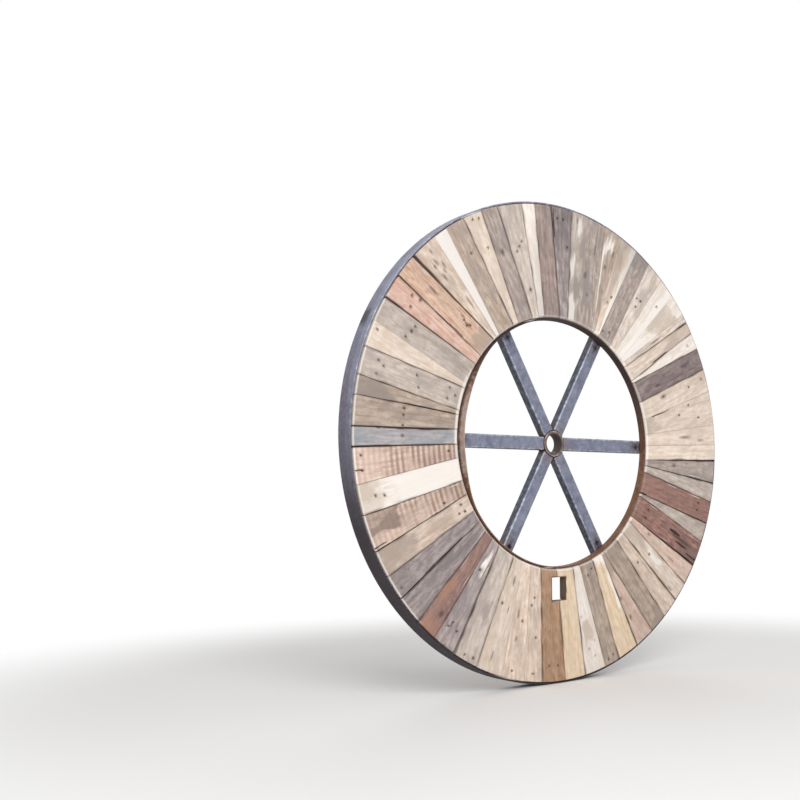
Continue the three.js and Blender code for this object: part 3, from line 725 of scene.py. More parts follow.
def cut_outlet(bm, settings):
    """Saws the cable outlet out of a board's face, and says whether the board had a part of it."""
    centre = clock_point(settings.outlet_radius, settings.outlet_angle)
    sides = [(Vector((1, 0, 0)), settings.outlet_width / 2),
             (Vector((0, 0, 1)), settings.outlet_height / 2)]
    for normal, reach in sides:
        for sign in (1, -1):
            saw(bm, centre + normal * reach * sign, normal)
    inside = [
        face for face in bm.faces
        if all(abs((face.calc_center_median() - centre).dot(normal)) < reach for normal, reach in sides)
    ]
    bmesh.ops.delete(bm, geom=inside, context="FACES")
    return bool(inside)


BEAD_PITCH = 4 * MM              # length of one ripple of a weld bead
BEAD_NECK = 0.86                 # size of the bead between two ripples
BEAD_END = 0.06                  # share of the bead where its end no longer gets thinner


def lay_bead(bm, path, radius):
    """Lays a weld bead along a path of points: a round section that swells at every ripple."""
    reach = [0.0]
    for before, after in zip(path, path[1:]):
        reach.append(reach[-1] + (after - before).length)
    count = max(4, round(reach[-1] / BEAD_PITCH * 2))

    def place(index):
        distance = reach[-1] * index / count
        leg = max(i for i in range(len(path) - 1) if reach[i] <= distance + 1e-9)
        direction = (path[leg + 1] - path[leg]).normalized()
        spot = path[leg] + direction * (distance - reach[leg])
        end = math.sin(math.pi * min(max(index / count, BEAD_END), 1 - BEAD_END)) ** 0.35
        size = radius * end * (1.0 if index % 2 else BEAD_NECK)
        turn = direction.to_track_quat("Z", "Y").to_matrix().to_4x4()
        return Matrix.Translation(spot) @ turn @ Matrix.Scale(size, 4)

    verts = bmesh.ops.create_circle(bm, segments=8, radius=1.0, matrix=place(0))["verts"]
    first = edges = list({edge for vert in verts for edge in vert.link_edges})
    for index in range(1, count + 1):
        verts, edges = extrude_open(bm, edges)
        bmesh.ops.transform(bm, matrix=place(index) @ place(index - 1).inverted(), verts=verts)
    bmesh.ops.holes_fill(bm, edges=[edge for edge in first + edges if edge.is_boundary], sides=0)


# ------------------------------------------------------------------ front boards


OPEN_JOINT = (0.4, 1.6)          # gaps, in usual gaps, at which a joint looks shut and open


class BoardPlace:
    """Where one radial board lies, and how far a point is along and across it."""

    def __init__(self, first, last, settings, end_gap):
        """first and last are its edges from board_edges, and end_gap is how far short it was sawn."""
        rim_radius = RIM_RADIUS - settings.rim_thickness - settings.rim_gap
        self.inner = HOOP_RADIUS + settings.hoop_gap
        self.outer = rim_radius - end_gap
        self.hoop, self.rim, self.open = [], [], []
        for edge, side in ((first, 1), (last, -1)):
            narrow = min(edge["gap"], settings.board_gap)
            self.open.append(smooth(*OPEN_JOINT, edge["gap"] / settings.board_gap))
            self.hoop.append(edge["hoop"] + side * math.degrees(narrow / 2 / self.inner))
            self.rim.append(edge["rim"] + side * math.degrees(edge["gap"] / 2 / rim_radius))

    def edge_angles(self, along):
        """Clock angles of both edges at a share of the board's length."""
        angles = []
        for hoop, rim in zip(self.hoop, self.rim):
            spot = clock_point(self.inner, hoop).lerp(clock_point(self.outer, rim), along)
            angle = clock_of(spot)[1]
            angles.append(angle + 360 * round((hoop - angle) / 360))
        return angles

    def width(self, along):
        """Width at a share of its length."""
        low, high = self.edge_angles(along)
        return math.radians(high - low) * mix(self.inner, self.outer, along)

    def locate(self, spot):
        """(along, across) of a point: 0 to 1 outward and -1 to 1 clockwise."""
        radius, angle = clock_of(spot)
        along = (radius - self.inner) / (self.outer - self.inner)
        low, high = self.edge_angles(along)
        middle = (low + high) / 2
        angle += 360 * round((middle - angle) / 360)
        return along, (angle - middle) / max((high - low) / 2, 1e-6)


def board_edges():
    """Clock angle of every board edge at the rim and the hoop, and the gap there at the rim."""
    totals = [sum(board.at_rim for board in BOARDS), sum(board.at_hoop for board in BOARDS)]
    rim, hoop = FIRST_BOARD
    edges = []
    for index, board in enumerate(BOARDS):
        edges.append({"rim": rim, "hoop": hoop, "gap": BOARDS[index - 1].wedge * MM})
        rim += board.at_rim * 360 / totals[0]
        hoop += board.at_hoop * 360 / totals[1]
    edges.append({"rim": rim, "hoop": hoop, "gap": edges[0]["gap"]})
    return edges


# How far marks reach, each from where it ends to where it is full, in millimetres.
NAIL_RUST = (8.0, 3.5)
NAIL_DENT = (8.0, 2.0)
JOINT_DIRT = (5.0, 0.5)
# The next two are painted shade: along the gap at the hoop, and round the cable outlet.
HOOP_GAP_SHADE = (5.5, 3.0)
OUTLET_SHADE = (3.5, 1.5)
RIM_TRIM = (6.0, 2.5)
WORN_FROM, WORN_TO = (3.0, 5.5), (12.0, 7.0)
# The same for knots and splits, as a share of their size.
KNOT_STAIN = (0.65, 0.25)
KNOT_DENT = (0.5, 0.2)
SPLIT_EDGE = (0.75, 0.35)
NAIL_DEPTH, KNOT_DEPTH, SPLIT_DEPTH = 1.2 * MM, 0.8 * MM, 5 * MM
SCRAPED_REACH = 8 * MM           # how far past the bevel the scraping goes
SOFT_END, SOFT_SIDE = 0.08, 0.2  # half the width of a patch's soft edge, along and across


def patch_share(patch, along, across, seed):
    """How far inside a painted patch a point is, with a wandering edge."""
    low, high, left, right = patch
    end = along + 0.10 * ripple(along * 7, across * 1.6, seed)
    side = across + 0.5 * ripple(along * 5, seed, 3.1)
    inside = smooth(low - SOFT_END, low + SOFT_END, end) if low > 0 else 1.0
    inside *= smooth(high + SOFT_END, high - SOFT_END, end) if high < 1 else 1.0
    inside *= smooth(left - SOFT_SIDE, left + SOFT_SIDE, side) if left > -1 else 1.0
    inside *= smooth(right + SOFT_SIDE, right - SOFT_SIDE, side) if right < 1 else 1.0
    return inside


def small_marks(board, along, across, long, half, seed):
    """Stain of the nails, knots and splits at a point of a board's face, and their depth there."""
    stain = depth = 0.0
    for nail_along, nail_across in board.nails:
        away = math.hypot((along - nail_along) * long, (across - nail_across) * half) / MM
        stain = max(stain, 0.85 * smooth(*NAIL_RUST, away))
        depth = max(depth, NAIL_DEPTH * smooth(*NAIL_DENT, away))
    for knot_along, knot_across, knot_long, knot_wide in board.knots:
        up, aside = (along - knot_along) * long, (across - knot_across) * half
        away = math.hypot(up / knot_long, aside / knot_wide) / MM
        stain = max(stain, 0.6 * smooth(*KNOT_STAIN, away))
        depth = max(depth, KNOT_DEPTH * smooth(*KNOT_DENT, away))
    for start, end, middle, wide in board.splits:
        run = (along - start) / (end - start)
        if 0 <= run <= 1:
            lean = 0.04 * ripple(along * 9, seed, 0.7)
            narrow = math.sin(math.pi * mix(0.12, 1.0 if end < 1 else 0.55, run)) ** 0.6
            away = abs(across - middle - lean) * half / MM
            deep = smooth(*SPLIT_EDGE, away / (wide * max(narrow, 0.1)))
            stain = max(stain, deep)
            depth = max(depth, SPLIT_DEPTH * deep)
    return stain, depth


def board_marks(board, place, spot, settings, seed):
    """(stain and painted shade, bleach, coat, fresh) at a point of a board's face, and the metres it is
    worn down there.
    """
    along, across = place.locate(spot)
    half = place.width(along) / 2
    long = place.outer - place.inner
    stain, depth = small_marks(board, along, across, long, half, seed)
    edge = (1 - abs(across)) * half / MM
    side = math.copysign(3.0, across)
    grubby = smooth(-0.3, 0.5, ripple(along * 6, seed, side))
    open_joint = place.open[0 if across < 0 else 1]
    stain = max(stain, open_joint * (0.10 + 0.65 * grubby) * smooth(*JOINT_DIRT, edge))
    worn = smooth(0.05, 0.4, ripple(along * 5, seed + 4, side))
    bleach = max((patch_share(patch, along, across, seed) for patch in board.wash), default=0.0)
    bleach = max(bleach, 0.55 * worn * smooth(*WORN_FROM, edge) * smooth(*WORN_TO, edge))
    coat = max((patch_share(patch, along, across, seed + 9) for patch in board.coat), default=0.0)
    # The bevel round the opening is a fresh cut, with painted shade along the hoop, where the gap to it
    # lies in shadow.
    start = along * long
    angle = clock_of(spot)[1]
    trimmed, scraped = in_zone(angle, TRIMMED), in_zone(angle, SCRAPED)
    fresh = max(settings.timbers[board.timber].fresh_cut, 0.85 * trimmed, 0.95 * scraped)
    reach = settings.end_bevel + SCRAPED_REACH * scraped
    fresh *= smooth(reach * 1.05, reach * 0.9, start)
    stain = max(stain * (1 - 0.7 * fresh), 0.6 * smooth(*HOOP_GAP_SHADE, start / MM))
    fresh = max(fresh, 0.75 * trimmed * smooth(*RIM_TRIM, (1 - along) * long / MM))
    # Painted shade round the cable outlet, whose walls lie in shadow. The walls take it over from the
    # face's edge.
    outlet = spot - clock_point(settings.outlet_radius, settings.outlet_angle)
    beside = max(abs(outlet.x) - settings.outlet_width / 2, abs(outlet.z) - settings.outlet_height / 2) / MM
    stain = max(stain, 0.85 * smooth(*OUTLET_SHADE, beside))
    return stain, bleach, coat, fresh, depth


FEWEST_COLUMNS = 8               # so that the narrowest board still shows its worn edges


def face_grid(bm, place, board, settings):
    """The board's front face: a grid with close lines at its worn edges, laid between hoop and rim."""
    worn = settings.worn_edge
    sides = (0.0, 0.3 * worn, worn)
    inner_end = (0.0, settings.end_bevel * 0.5, settings.end_bevel * 0.96, settings.end_bevel * 1.06)
    long = place.outer - place.inner
    widest = max(place.width(0), place.width(1))
    step = settings.mesh_step * (0.5 if board.splits else 1.0)
    columns = max(FEWEST_COLUMNS, round(widest / step))
    rows = round(long / settings.mesh_step)
    bmesh.ops.create_grid(bm, x_segments=columns, y_segments=rows, size=1.0)
    for vert in bm.verts:
        column = round((vert.co.x + 1) / 2 * columns)
        row = round((vert.co.y + 1) / 2 * rows)
        along = station(row, rows, long, inner_end, sides) / long
        wide = place.width(along)
        across = station(column, columns, wide, sides, sides) / wide
        low, high = place.edge_angles(along)
        vert.co = clock_point(mix(place.inner, place.outer, along), mix(low, high, across), FACE)


def shape_face(bm, place, board, settings, seed):
    """Wears and paints a board whose face is still flat."""
    wear = bm.verts.layers.float_color.new("wear")
    shade = bm.verts.layers.float.new("shade")
    sawn = bm.verts.layers.float.new("sawn")
    long = place.outer - place.inner
    sunk = board.sunk * MM
    twist = 0.6 * MM * ripple(seed, 5.0, 1.0)
    cup = 0.5 * MM * ripple(seed, 2.0, 8.0)
    for vert in bm.verts:
        along, across = place.locate(vert.co)
        wide = place.width(along)
        *marks, deep = board_marks(board, place, vert.co, settings, seed)
        side = (1 - abs(across)) * wide / 2
        end = (1 - along) * long
        wave = 0.35 * MM * ripple(vert.co.x * 9, seed, vert.co.z * 9)
        bevel = max(0.0, settings.end_bevel - along * long)
        worn = settings.worn_edge * mix(0.5, 1.0, place.open[0 if across < 0 else 1])
        round_over = edge_round(side, min(worn, wide / 6)) + edge_round(end, settings.worn_edge)
        level = sunk + wave + cup * (1 - across**2) + twist * across * (along - 0.5)
        vert.co.y = FACE + max(level, 0.0) + max(bevel - sunk * 0.5, 0.0) + round_over + deep
        vert[wear] = marks
        vert[shade] = board.shade * (1 + board.fade * (along - 0.5))
        vert[sawn] = mix(0.35, 1.0, smooth(0.85, 0.55, along))


def grain_offset(seed):
    """Where in the pattern of its timber a board was cut, in metres."""
    return seed * 0.37, seed * 1.71


def map_grain(bm, place, seed):
    """Writes the grain map in metres: across the board and along it, the sides folded out."""
    grain = bm.loops.layers.uv.new("grain")
    offset = Vector(grain_offset(seed))
    for face in bm.faces:
        normal = face.normal
        outward = (face.calc_center_median() - AXIS).normalized()
        along_end = abs(normal.dot(outward)) > 0.7
        for loop in face.loops:
            along, across = place.locate(loop.vert.co)
            behind = loop.vert.co.y - FACE
            u = across * place.width(along) / 2
            v = clock_of(loop.vert.co)[0]
            if abs(normal.y) < 0.5:
                u += 0.0 if along_end else behind
                v += behind if along_end else 0.0
            loop[grain].uv = Vector((u, v)) + offset


FRONT_DRAWS, CROSS_DRAWS, NAIL_DRAWS = 7, 23, 41   # starts of the random draws
SAWN_SHORT = 2.5                 # millimetres by which a board may be sawn short of the rim


class DRUM_OT_front_boards(bpy.types.Operator):
    """Build the sixty radial boards of the front face"""

    bl_idname = "drum.front_boards"
    bl_label = "Front boards"

    def execute(self, context):
        settings = context.scene.drum_timber
        edges = board_edges()
        chance = random.Random(FRONT_DRAWS)
        for index, board in enumerate(BOARDS):
            place = BoardPlace(edges[index], edges[index + 1], settings, chance.uniform(0, SAWN_SHORT) * MM)
            seed = index * 1.37 + 0.5
            bm = bmesh.new()
            face_grid(bm, place, board, settings)
            cut_outlet(bm, settings)
            shape_face(bm, place, board, settings, seed)
            close_board(bm, FRONT_BOARD_BACK)
            map_grain(bm, place, seed)
            for face in bm.faces:
                face.smooth = face.normal.y < -0.3
            finish_piece(f"board_{index + 1:02d}", bm, board.timber, [node_of_board(index)])
        return {"FINISHED"}


# ------------------------------------------------------------------ crosswise boards

CROSS_TIMBERS = (
    "weathered_oak_tan", "pallet_pine_pale_grey", "rough_sawn_cream_pine", "weathered_oak_ash_grey",
    "pallet_pine_light_tan", "sawn_meranti_red_brown", "rough_sawn_straw_pine", "weathered_oak_mid_grey",
)

CROSS_GRID = (44, 9)             # points across and up one board
RIM_CUTS = 24                    # straight cuts that round off the boards of a sector


def node_of_cross_board(sector, row):
    """CAD nodes that a crosswise board stands for: its sector's, or its own where it has one."""
    own = [name for name in nodes_named(f"back_board_{sector + 1}_")
           if name.endswith(("inner",) if row == 0 else ("left", "right"))]
    return own if own and row < 2 else [f"back_boards_{sector + 1}"]


class CrossPlace:
    """Where one crosswise board of the back layer lies in its sector.

    The second board is as wide as the outlet is high, and the boards outside it are even.
    """

    def __init__(self, row, settings):
        """row counts from 0 at the hoop."""
        self.half = math.radians(SECTOR / 2)
        self.inner = HOOP_RADIUS + settings.hoop_gap
        self.outer = RIM_RADIUS - settings.rim_thickness - settings.rim_gap
        low = settings.outlet_radius - settings.outlet_height / 2
        high = settings.outlet_radius + settings.outlet_height / 2
        even = settings.cross_rows - 2
        seams = [0.0, low] + [mix(high, self.outer, index / even) for index in range(even + 1)]
        self.first = row == 0
        self.gap = settings.board_gap / 2
        self.low = seams[row] + self.gap
        self.high = seams[row + 1] - self.gap

    def point(self, across, up):
        """Flat point in the sector, whose middle line is X = 0: across from -1 to 1 and up from 0 to 1."""
        top = Vector((across * (self.high * math.tan(self.half) - self.gap), self.high))
        if self.first:
            angle = across * (self.half - self.gap / self.inner)
            bottom = Vector((math.sin(angle), math.cos(angle))) * self.inner
        else:
            bottom = Vector((across * (self.low * math.tan(self.half) - self.gap), self.low))
        return bottom.lerp(top, up)


class DRUM_OT_cross_boards(bpy.types.Operator):
    """Build the crosswise boards of the back layer"""

    bl_idname = "drum.cross_boards"
    bl_label = "Cross boards"

    def execute(self, context):
        settings = context.scene.drum_timber
        chance = random.Random(CROSS_DRAWS)
        for sector in range(SPOKES):
            for row in range(settings.cross_rows):
                self.add_board(settings, chance, sector, row)
        return {"FINISHED"}

    def add_board(self, settings, chance, sector, row):
        """One board, which is laid out and worn in the top sector and then turned to its own."""
        place = CrossPlace(row, settings)
        turn = turned(sector * SECTOR)
        seed = sector * 3.1 + row * 0.77 + 40
        bm = bmesh.new()
        bmesh.ops.create_grid(bm, x_segments=CROSS_GRID[0], y_segments=CROSS_GRID[1], size=1.0)
        for vert in bm.verts:
            spot = place.point(vert.co.x, (vert.co.y + 1) / 2)
            vert.co = Vector((spot.x, CROSS_BACK, spot.y))
        self.trim(bm, place)
        self.wear_face(bm, settings, chance, seed)
        bmesh.ops.transform(bm, matrix=turn, verts=bm.verts)
        before = set(bm.verts)
        # Painted shade on the cut edges and walls of the cable outlet.
        if cut_outlet(bm, settings):
            wear = bm.verts.layers.float_color["wear"]
            for vert in set(bm.verts) - before:
                vert[wear] = (0.85, 0.0, 0.0, 0.0)
        close_board(bm, CROSS_FRONT)
        self.map_grain(bm, turn.inverted(), seed)
        timber = CROSS_TIMBERS[(sector * 3 + row * 5) % len(CROSS_TIMBERS)]
        nodes = node_of_cross_board(sector, row)
        finish_piece(f"cross_board_{sector + 1}_{row + 1}", bm, timber, nodes)

    def wear_face(self, bm, settings, chance, seed):
        """Wears and paints a board's face, most of all along its edges."""
        wear = bm.verts.layers.float_color.new("wear")
        shade = bm.verts.layers.float.new("shade")
        tone = chance.uniform(0.86, 1.0)
        sunk = chance.uniform(0.2, 1.6) * MM
        edge_verts = {vert for edge in bm.edges if edge.is_boundary for vert in edge.verts}
        for vert in bm.verts:
            wave = 0.4 * MM * ripple(vert.co.x * 8, seed, vert.co.z * 8)
            worn = settings.worn_edge * 0.7 if vert in edge_verts else 0.0
            vert.co.y = CROSS_BACK - max(sunk + wave, 0.0) - worn
            grubby = 0.5 + 0.5 * ripple(vert.co.x * 6, seed, vert.co.z * 6)
            vert[wear] = (0.35 * grubby if vert in edge_verts else 0.08 * grubby, 0.0, 0.6 * grubby, 0.0)
            vert[shade] = tone

    def map_grain(self, bm, back, seed):
        """Writes the grain map in metres. back turns the board to the top sector again."""
        grain = bm.loops.layers.uv.new("grain")
        aside, along = grain_offset(seed)
        for face in bm.faces:
            face.smooth = face.normal.y > 0.6
            for loop in face.loops:
                spot = back @ loop.vert.co
                behind = loop.vert.co.y - CROSS_BACK if abs(face.normal.y) < 0.5 else 0.0
                loop[grain].uv = (spot.z + aside + behind, spot.x + along)

    def trim(self, bm, place):
        """Cuts a board's outer corners to the round of the rim."""
        chord = place.outer * math.cos(place.half / RIM_CUTS)
        for index in range(RIM_CUTS):
            angle = mix(-place.half, place.half, (index + 0.5) / RIM_CUTS)
            normal = Vector((math.sin(angle), 0, math.cos(angle)))
            saw(bm, normal * chord, normal, clear_outer=True)


# ------------------------------------------------------------------ nails


def drive_nail(bm, spot, facing, radius):
    """One low round nail head, a little below the wood it was driven into."""
    turn = facing.to_track_quat("Z", "Y").to_matrix().to_4x4()
    bmesh.ops.create_cone(bm, cap_ends=True, segments=8, radius1=radius, radius2=radius * 0.7,
                          depth=2.4 * MM, matrix=Matrix.Translation(spot) @ turn)


NAIL_SUNK, BACK_NAIL_SUNK = 1.7, 2.2   # millimetres from a board's face in to a nail's middle
BACK_NAILS = [(across, up) for across in (-0.84, 0.84) for up in (0.28, 0.72)]
NAIL_TO_RIM = 20 * MM                  # no nail comes nearer to the round of the rim
NAIL_CLOUD = 3 * MM                    # grain of the rust on a nail


class DRUM_OT_nails(bpy.types.Operator):
    """Drive the nails of both layers"""

    bl_idname = "drum.nails"
    bl_label = "Nails"

    def execute(self, context):
        settings = context.scene.drum_timber
        iron = rusted_iron(settings).name
        edges = board_edges()
        chance = random.Random(NAIL_DRAWS)
        bm = bmesh.new()
        for index, board in enumerate(BOARDS):
            place = BoardPlace(edges[index], edges[index + 1], settings, 0.0)
            for along, across in board.nails:
                low, high = place.edge_angles(along)
                angle = mix(low, high, (across + 1) / 2)
                depth = FACE + (board.sunk + NAIL_SUNK) * MM
                spot = clock_point(mix(place.inner, place.outer, along), angle, depth)
                drive_nail(bm, spot, Vector((0, -1, 0)), settings.nail_head / 2 * chance.uniform(0.8, 1.05))
        finish_piece("front_nails", bm, iron, [])
        bm = bmesh.new()
        for sector in range(SPOKES):
            turn = turned(sector * SECTOR)
            for row in range(settings.cross_rows):
                place = CrossPlace(row, settings)
                for across, up in BACK_NAILS:
                    flat = place.point(across, up)
                    if flat.length < place.outer - NAIL_TO_RIM:
                        spot = Vector((flat.x, CROSS_BACK - BACK_NAIL_SUNK * MM, flat.y))
                        drive_nail(bm, turn @ spot, Vector((0, 1, 0)), settings.nail_head / 2)
        finish_piece("back_nails", bm, iron, [])
        return {"FINISHED"}


def rusted_iron(settings):
    """Rusted wire nails: dull, rough and nearly black."""
    material, add = new_material("rusted_wire_nails")
    place = add("TexCoord").outputs["Object"]
    cloud = add("TexNoise", {"Vector": place, "Scale": 1 / NAIL_CLOUD, "Detail": 2.0}).outputs[0]
    tone = add("Mix", {0: cloud, MIX_A: list(settings.old_nail), MIX_B: list(settings.nail_rust)},
               data_type="RGBA").outputs[MIX_RESULT]
    skin = add("BsdfPrincipled", {"Base Color": tone, "Roughness": 0.8, "Metallic": 0.3})
    add("OutputMaterial", {"Surface": skin.outputs[0]})
    return material


# ------------------------------------------------------------------ steelwork


def turned_ring(inner, outer, front, back, edge, steps, lines):
    """A ring about the drum axis, spun from a rectangle with rounded corners.

    steps is the number of segments round the ring, and lines the rings of points along its width.
    """
    bm = bmesh.new()
    place = Matrix.Translation(((inner + outer) / 2, (front + back) / 2, 0))
    size = Matrix.Diagonal((outer - inner, back - front, 1, 1))
    bmesh.ops.create_grid(bm, x_segments=1, y_segments=1, size=0.5, matrix=place @ size)
    bmesh.ops.bevel(bm, geom=bm.verts[:], offset=edge, offset_type="OFFSET", segments=3, profile=0.5,
                    affect="VERTICES", material=-1)
    bmesh.ops.delete(bm, geom=bm.faces[:], context="FACES_ONLY")
    long = [e for e in bm.edges if abs(e.verts[0].co.y - e.verts[1].co.y) > (back - front) / 2]
    bmesh.ops.subdivide_edges(bm, edges=long, cuts=lines)
    bmesh.ops.spin(bm, geom=bm.verts[:] + bm.edges[:], cent=(0, 0, 0), axis=(0, 1, 0), angle=math.tau,
                   steps=steps, use_merge=True)
    bmesh.ops.translate(bm, vec=AXIS, verts=bm.verts)
    face_outwards(bm)
    return bm


RIM_LIT_AND_RUBBED = (276, 300, 336, 356)      # zone where painted light from above lightens the rim's dark tone, and handling has rubbed it clean
RIM_RUSTY = (8, 30, 160, 200)          # and where it has rusted
SEAM, SEAM_WAVER = 0.38, 0.05          # share of the rim's width where its scale turns dark, give or take
JOINT_BURN = 16                        # millimetres from the weld to the middle of its burnt bands
BURN_EDGE, GROUND_EDGE = (26, 10), (18, 8)   # where the bands and the ground weld end, and are full


class DRUM_OT_outer_rim(bpy.types.Operator):
    """Build the outer rim, a rolled flat bar with one butt weld"""

    bl_idname = "drum.outer_rim"
    bl_label = "Outer rim"

    def execute(self, context):
        settings = context.scene.drum_steel
        inner = RIM_RADIUS - settings.rim_thickness
        bm = turned_ring(inner, RIM_RADIUS, RIM_FRONT, RIM_BACK, settings.rim_edge, steps=288, lines=14)
        wear = bm.verts.layers.float_color.new("wear")
        for vert in bm.verts:
            angle = clock_of(vert.co)[1]
            width_share = (vert.co.y - RIM_FRONT) / (RIM_BACK - RIM_FRONT)
            seam = SEAM + SEAM_WAVER * ripple(angle / 14, 1, 2)
            back_tone = 0.85 * smooth(seam - SEAM_WAVER, seam + SEAM_WAVER, width_share)
            # Painted shade: the rim's lower half, which faces the floor, is darkened with the grime colour.
            # The burnt bands by the weld are real.
            shaded_low_half = smooth(0.25, -0.40, math.cos(math.radians(angle)))
            front_edge = smooth(0.05, 0.0, width_share)
            joint = abs((angle - settings.rim_joint + 180) % 360 - 180) * math.radians(1) * RIM_RADIUS / MM
            burnt = smooth(*BURN_EDGE, abs(joint - JOINT_BURN)) * smooth(0.2, 0.6, width_share)
            ground = smooth(*GROUND_EDGE, joint) * smooth(0.4, 0.1, width_share)
            grime_and_shade = 0.90 * shaded_low_half + 0.75 * burnt
            # Painted light: the upper left of the rim loses most of its dark tone, as well as being rubbed.
            lit_and_rubbed = in_zone(angle, RIM_LIT_AND_RUBBED)
            bright = max(0.5 * front_edge, 0.8 * ground)
            back_tone *= (1 - 0.3 * shaded_low_half) * (1 - 0.55 * lit_and_rubbed)
            back_tone = max(back_tone, 0.42 * (1 - lit_and_rubbed))
            rusty = 0.5 * in_zone(angle, RIM_RUSTY)
            vert[wear] = (min(grime_and_shade, 0.95), bright * (1 - 0.5 * shaded_low_half), back_tone, rusty)
            dent = 0.5 * MM * max(ripple(angle / 5, vert.co.y * 8, 4), 0)
            flat = vert.co - AXIS
            flat.y = 0
            vert.co -= flat.normalized() * dent
        finish_piece("rim_bar", bm, "hot_rolled_flat_bar_mill_scale", nodes_named("outer_rim"))
        return {"FINISHED"}


HOOP_EDGE = 0.9 * MM             # radius of the bar's edges
HOOP_SKEW = 2.8 * MM             # how far the hoop was sprung in askew, at its left and right
BENT = (236, 262, 285, 322)      # zone where the hoop's front is bent in


class DRUM_OT_inner_hoop(bpy.types.Operator):
    """Build the inner hoop, a rusted flat bar round the middle opening"""

    bl_idname = "drum.inner_hoop"
    bl_label = "Inner hoop"

    def execute(self, context):
        settings = context.scene.drum_steel
        inner = HOOP_RADIUS - settings.hoop_thickness
        bm = turned_ring(inner, HOOP_RADIUS, HOOP_FRONT, HOOP_BACK, HOOP_EDGE, steps=216, lines=5)
        wear = bm.verts.layers.float_color.new("wear")
        for vert in bm.verts:
            radius, angle = clock_of(vert.co)
            front = smooth(HOOP_BACK, HOOP_FRONT, vert.co.y)
            # The front of the hoop is flush with the boards at the left and deeper at the right.
            vert.co.y += HOOP_SKEW * vert.co.x / HOOP_RADIUS * front
            bent = in_zone(angle, BENT)
            # Painted shade darkens the bent part's back, near the boards. Painted light, over its pale
            # dusty rust, makes it paler towards its front edge.
            shaded = 0.9 * bent * smooth(0.75, 0.35, front) * smooth(inner, HOOP_RADIUS, radius)
            vert.co += (AXIS - vert.co).normalized() * settings.hoop_bend * bent * front
            # The rest of the hoop is darker towards the top.
            upper = smooth(-0.3, 0.6, math.cos(math.radians(angle)))
            cloud = ripple(angle / 9, vert.co.y * 40, 6)
            dusty_and_lit = bent * smooth(0.1, 0.8, front)
            grime_and_shade = max(0.85 * upper * (1 - bent), shaded)
            vert[wear] = (grime_and_shade + 0.1 * max(cloud, 0), dusty_and_lit, 0.35 * max(-cloud, 0), 0.0)
        finish_piece("hoop_bar", bm, "rusted_flat_bar", nodes_named("inner_hoop"))
        return {"FINISHED"}


class DRUM_OT_hub(bpy.types.Operator):
    """Build the hub tube"""

    bl_idname = "drum.hub"
    bl_label = "Hub"

    def execute(self, context):
        settings = context.scene.drum_steel
        bore = settings.hub_bore / 2
        bm = turned_ring(bore, HUB_RADIUS, HUB_FRONT, HUB_BACK, settings.hub_edge, steps=96, lines=6)
        wear = bm.verts.layers.float_color.new("wear")
        for vert in bm.verts:
            radius = clock_of(vert.co)[0]
            inside = smooth(bore + 3 * MM, bore, radius)
            cloud = ripple(*(vert.co * 60))
            lip = smooth(HUB_RADIUS - 4 * MM, HUB_RADIUS - 1 * MM, radius)
            lip *= smooth(HUB_FRONT + 4 * MM, HUB_FRONT, vert.co.y)
            worn = 0.9 * lip + 0.3 * max(cloud, 0) * (1 - inside)
            vert[wear] = (0.6 * inside, worn, 0.3 * (1 - lip), 0.3 * inside)
        finish_piece("hub_sleeve", bm, "thick_wall_tube_dark_scale", ["hub_tube"])
        return {"FINISHED"}


SPOKE_STEPS = 36                 # even steps along a spoke
HOLE_SQUARE = 12 * MM            # half the square of web that the tie rod hole is opened in
HOLE_CLEAR = 20 * MM             # the even steps stop this far from the hole
SHARP = 40                       # degrees above which an edge is drawn sharp
# Distances from the axis where the rust of the welds begins along a spoke, and where it is full.
NEAR_HUB, NEAR_HOOP = (0.13, 0.06), (0.40, 0.49)


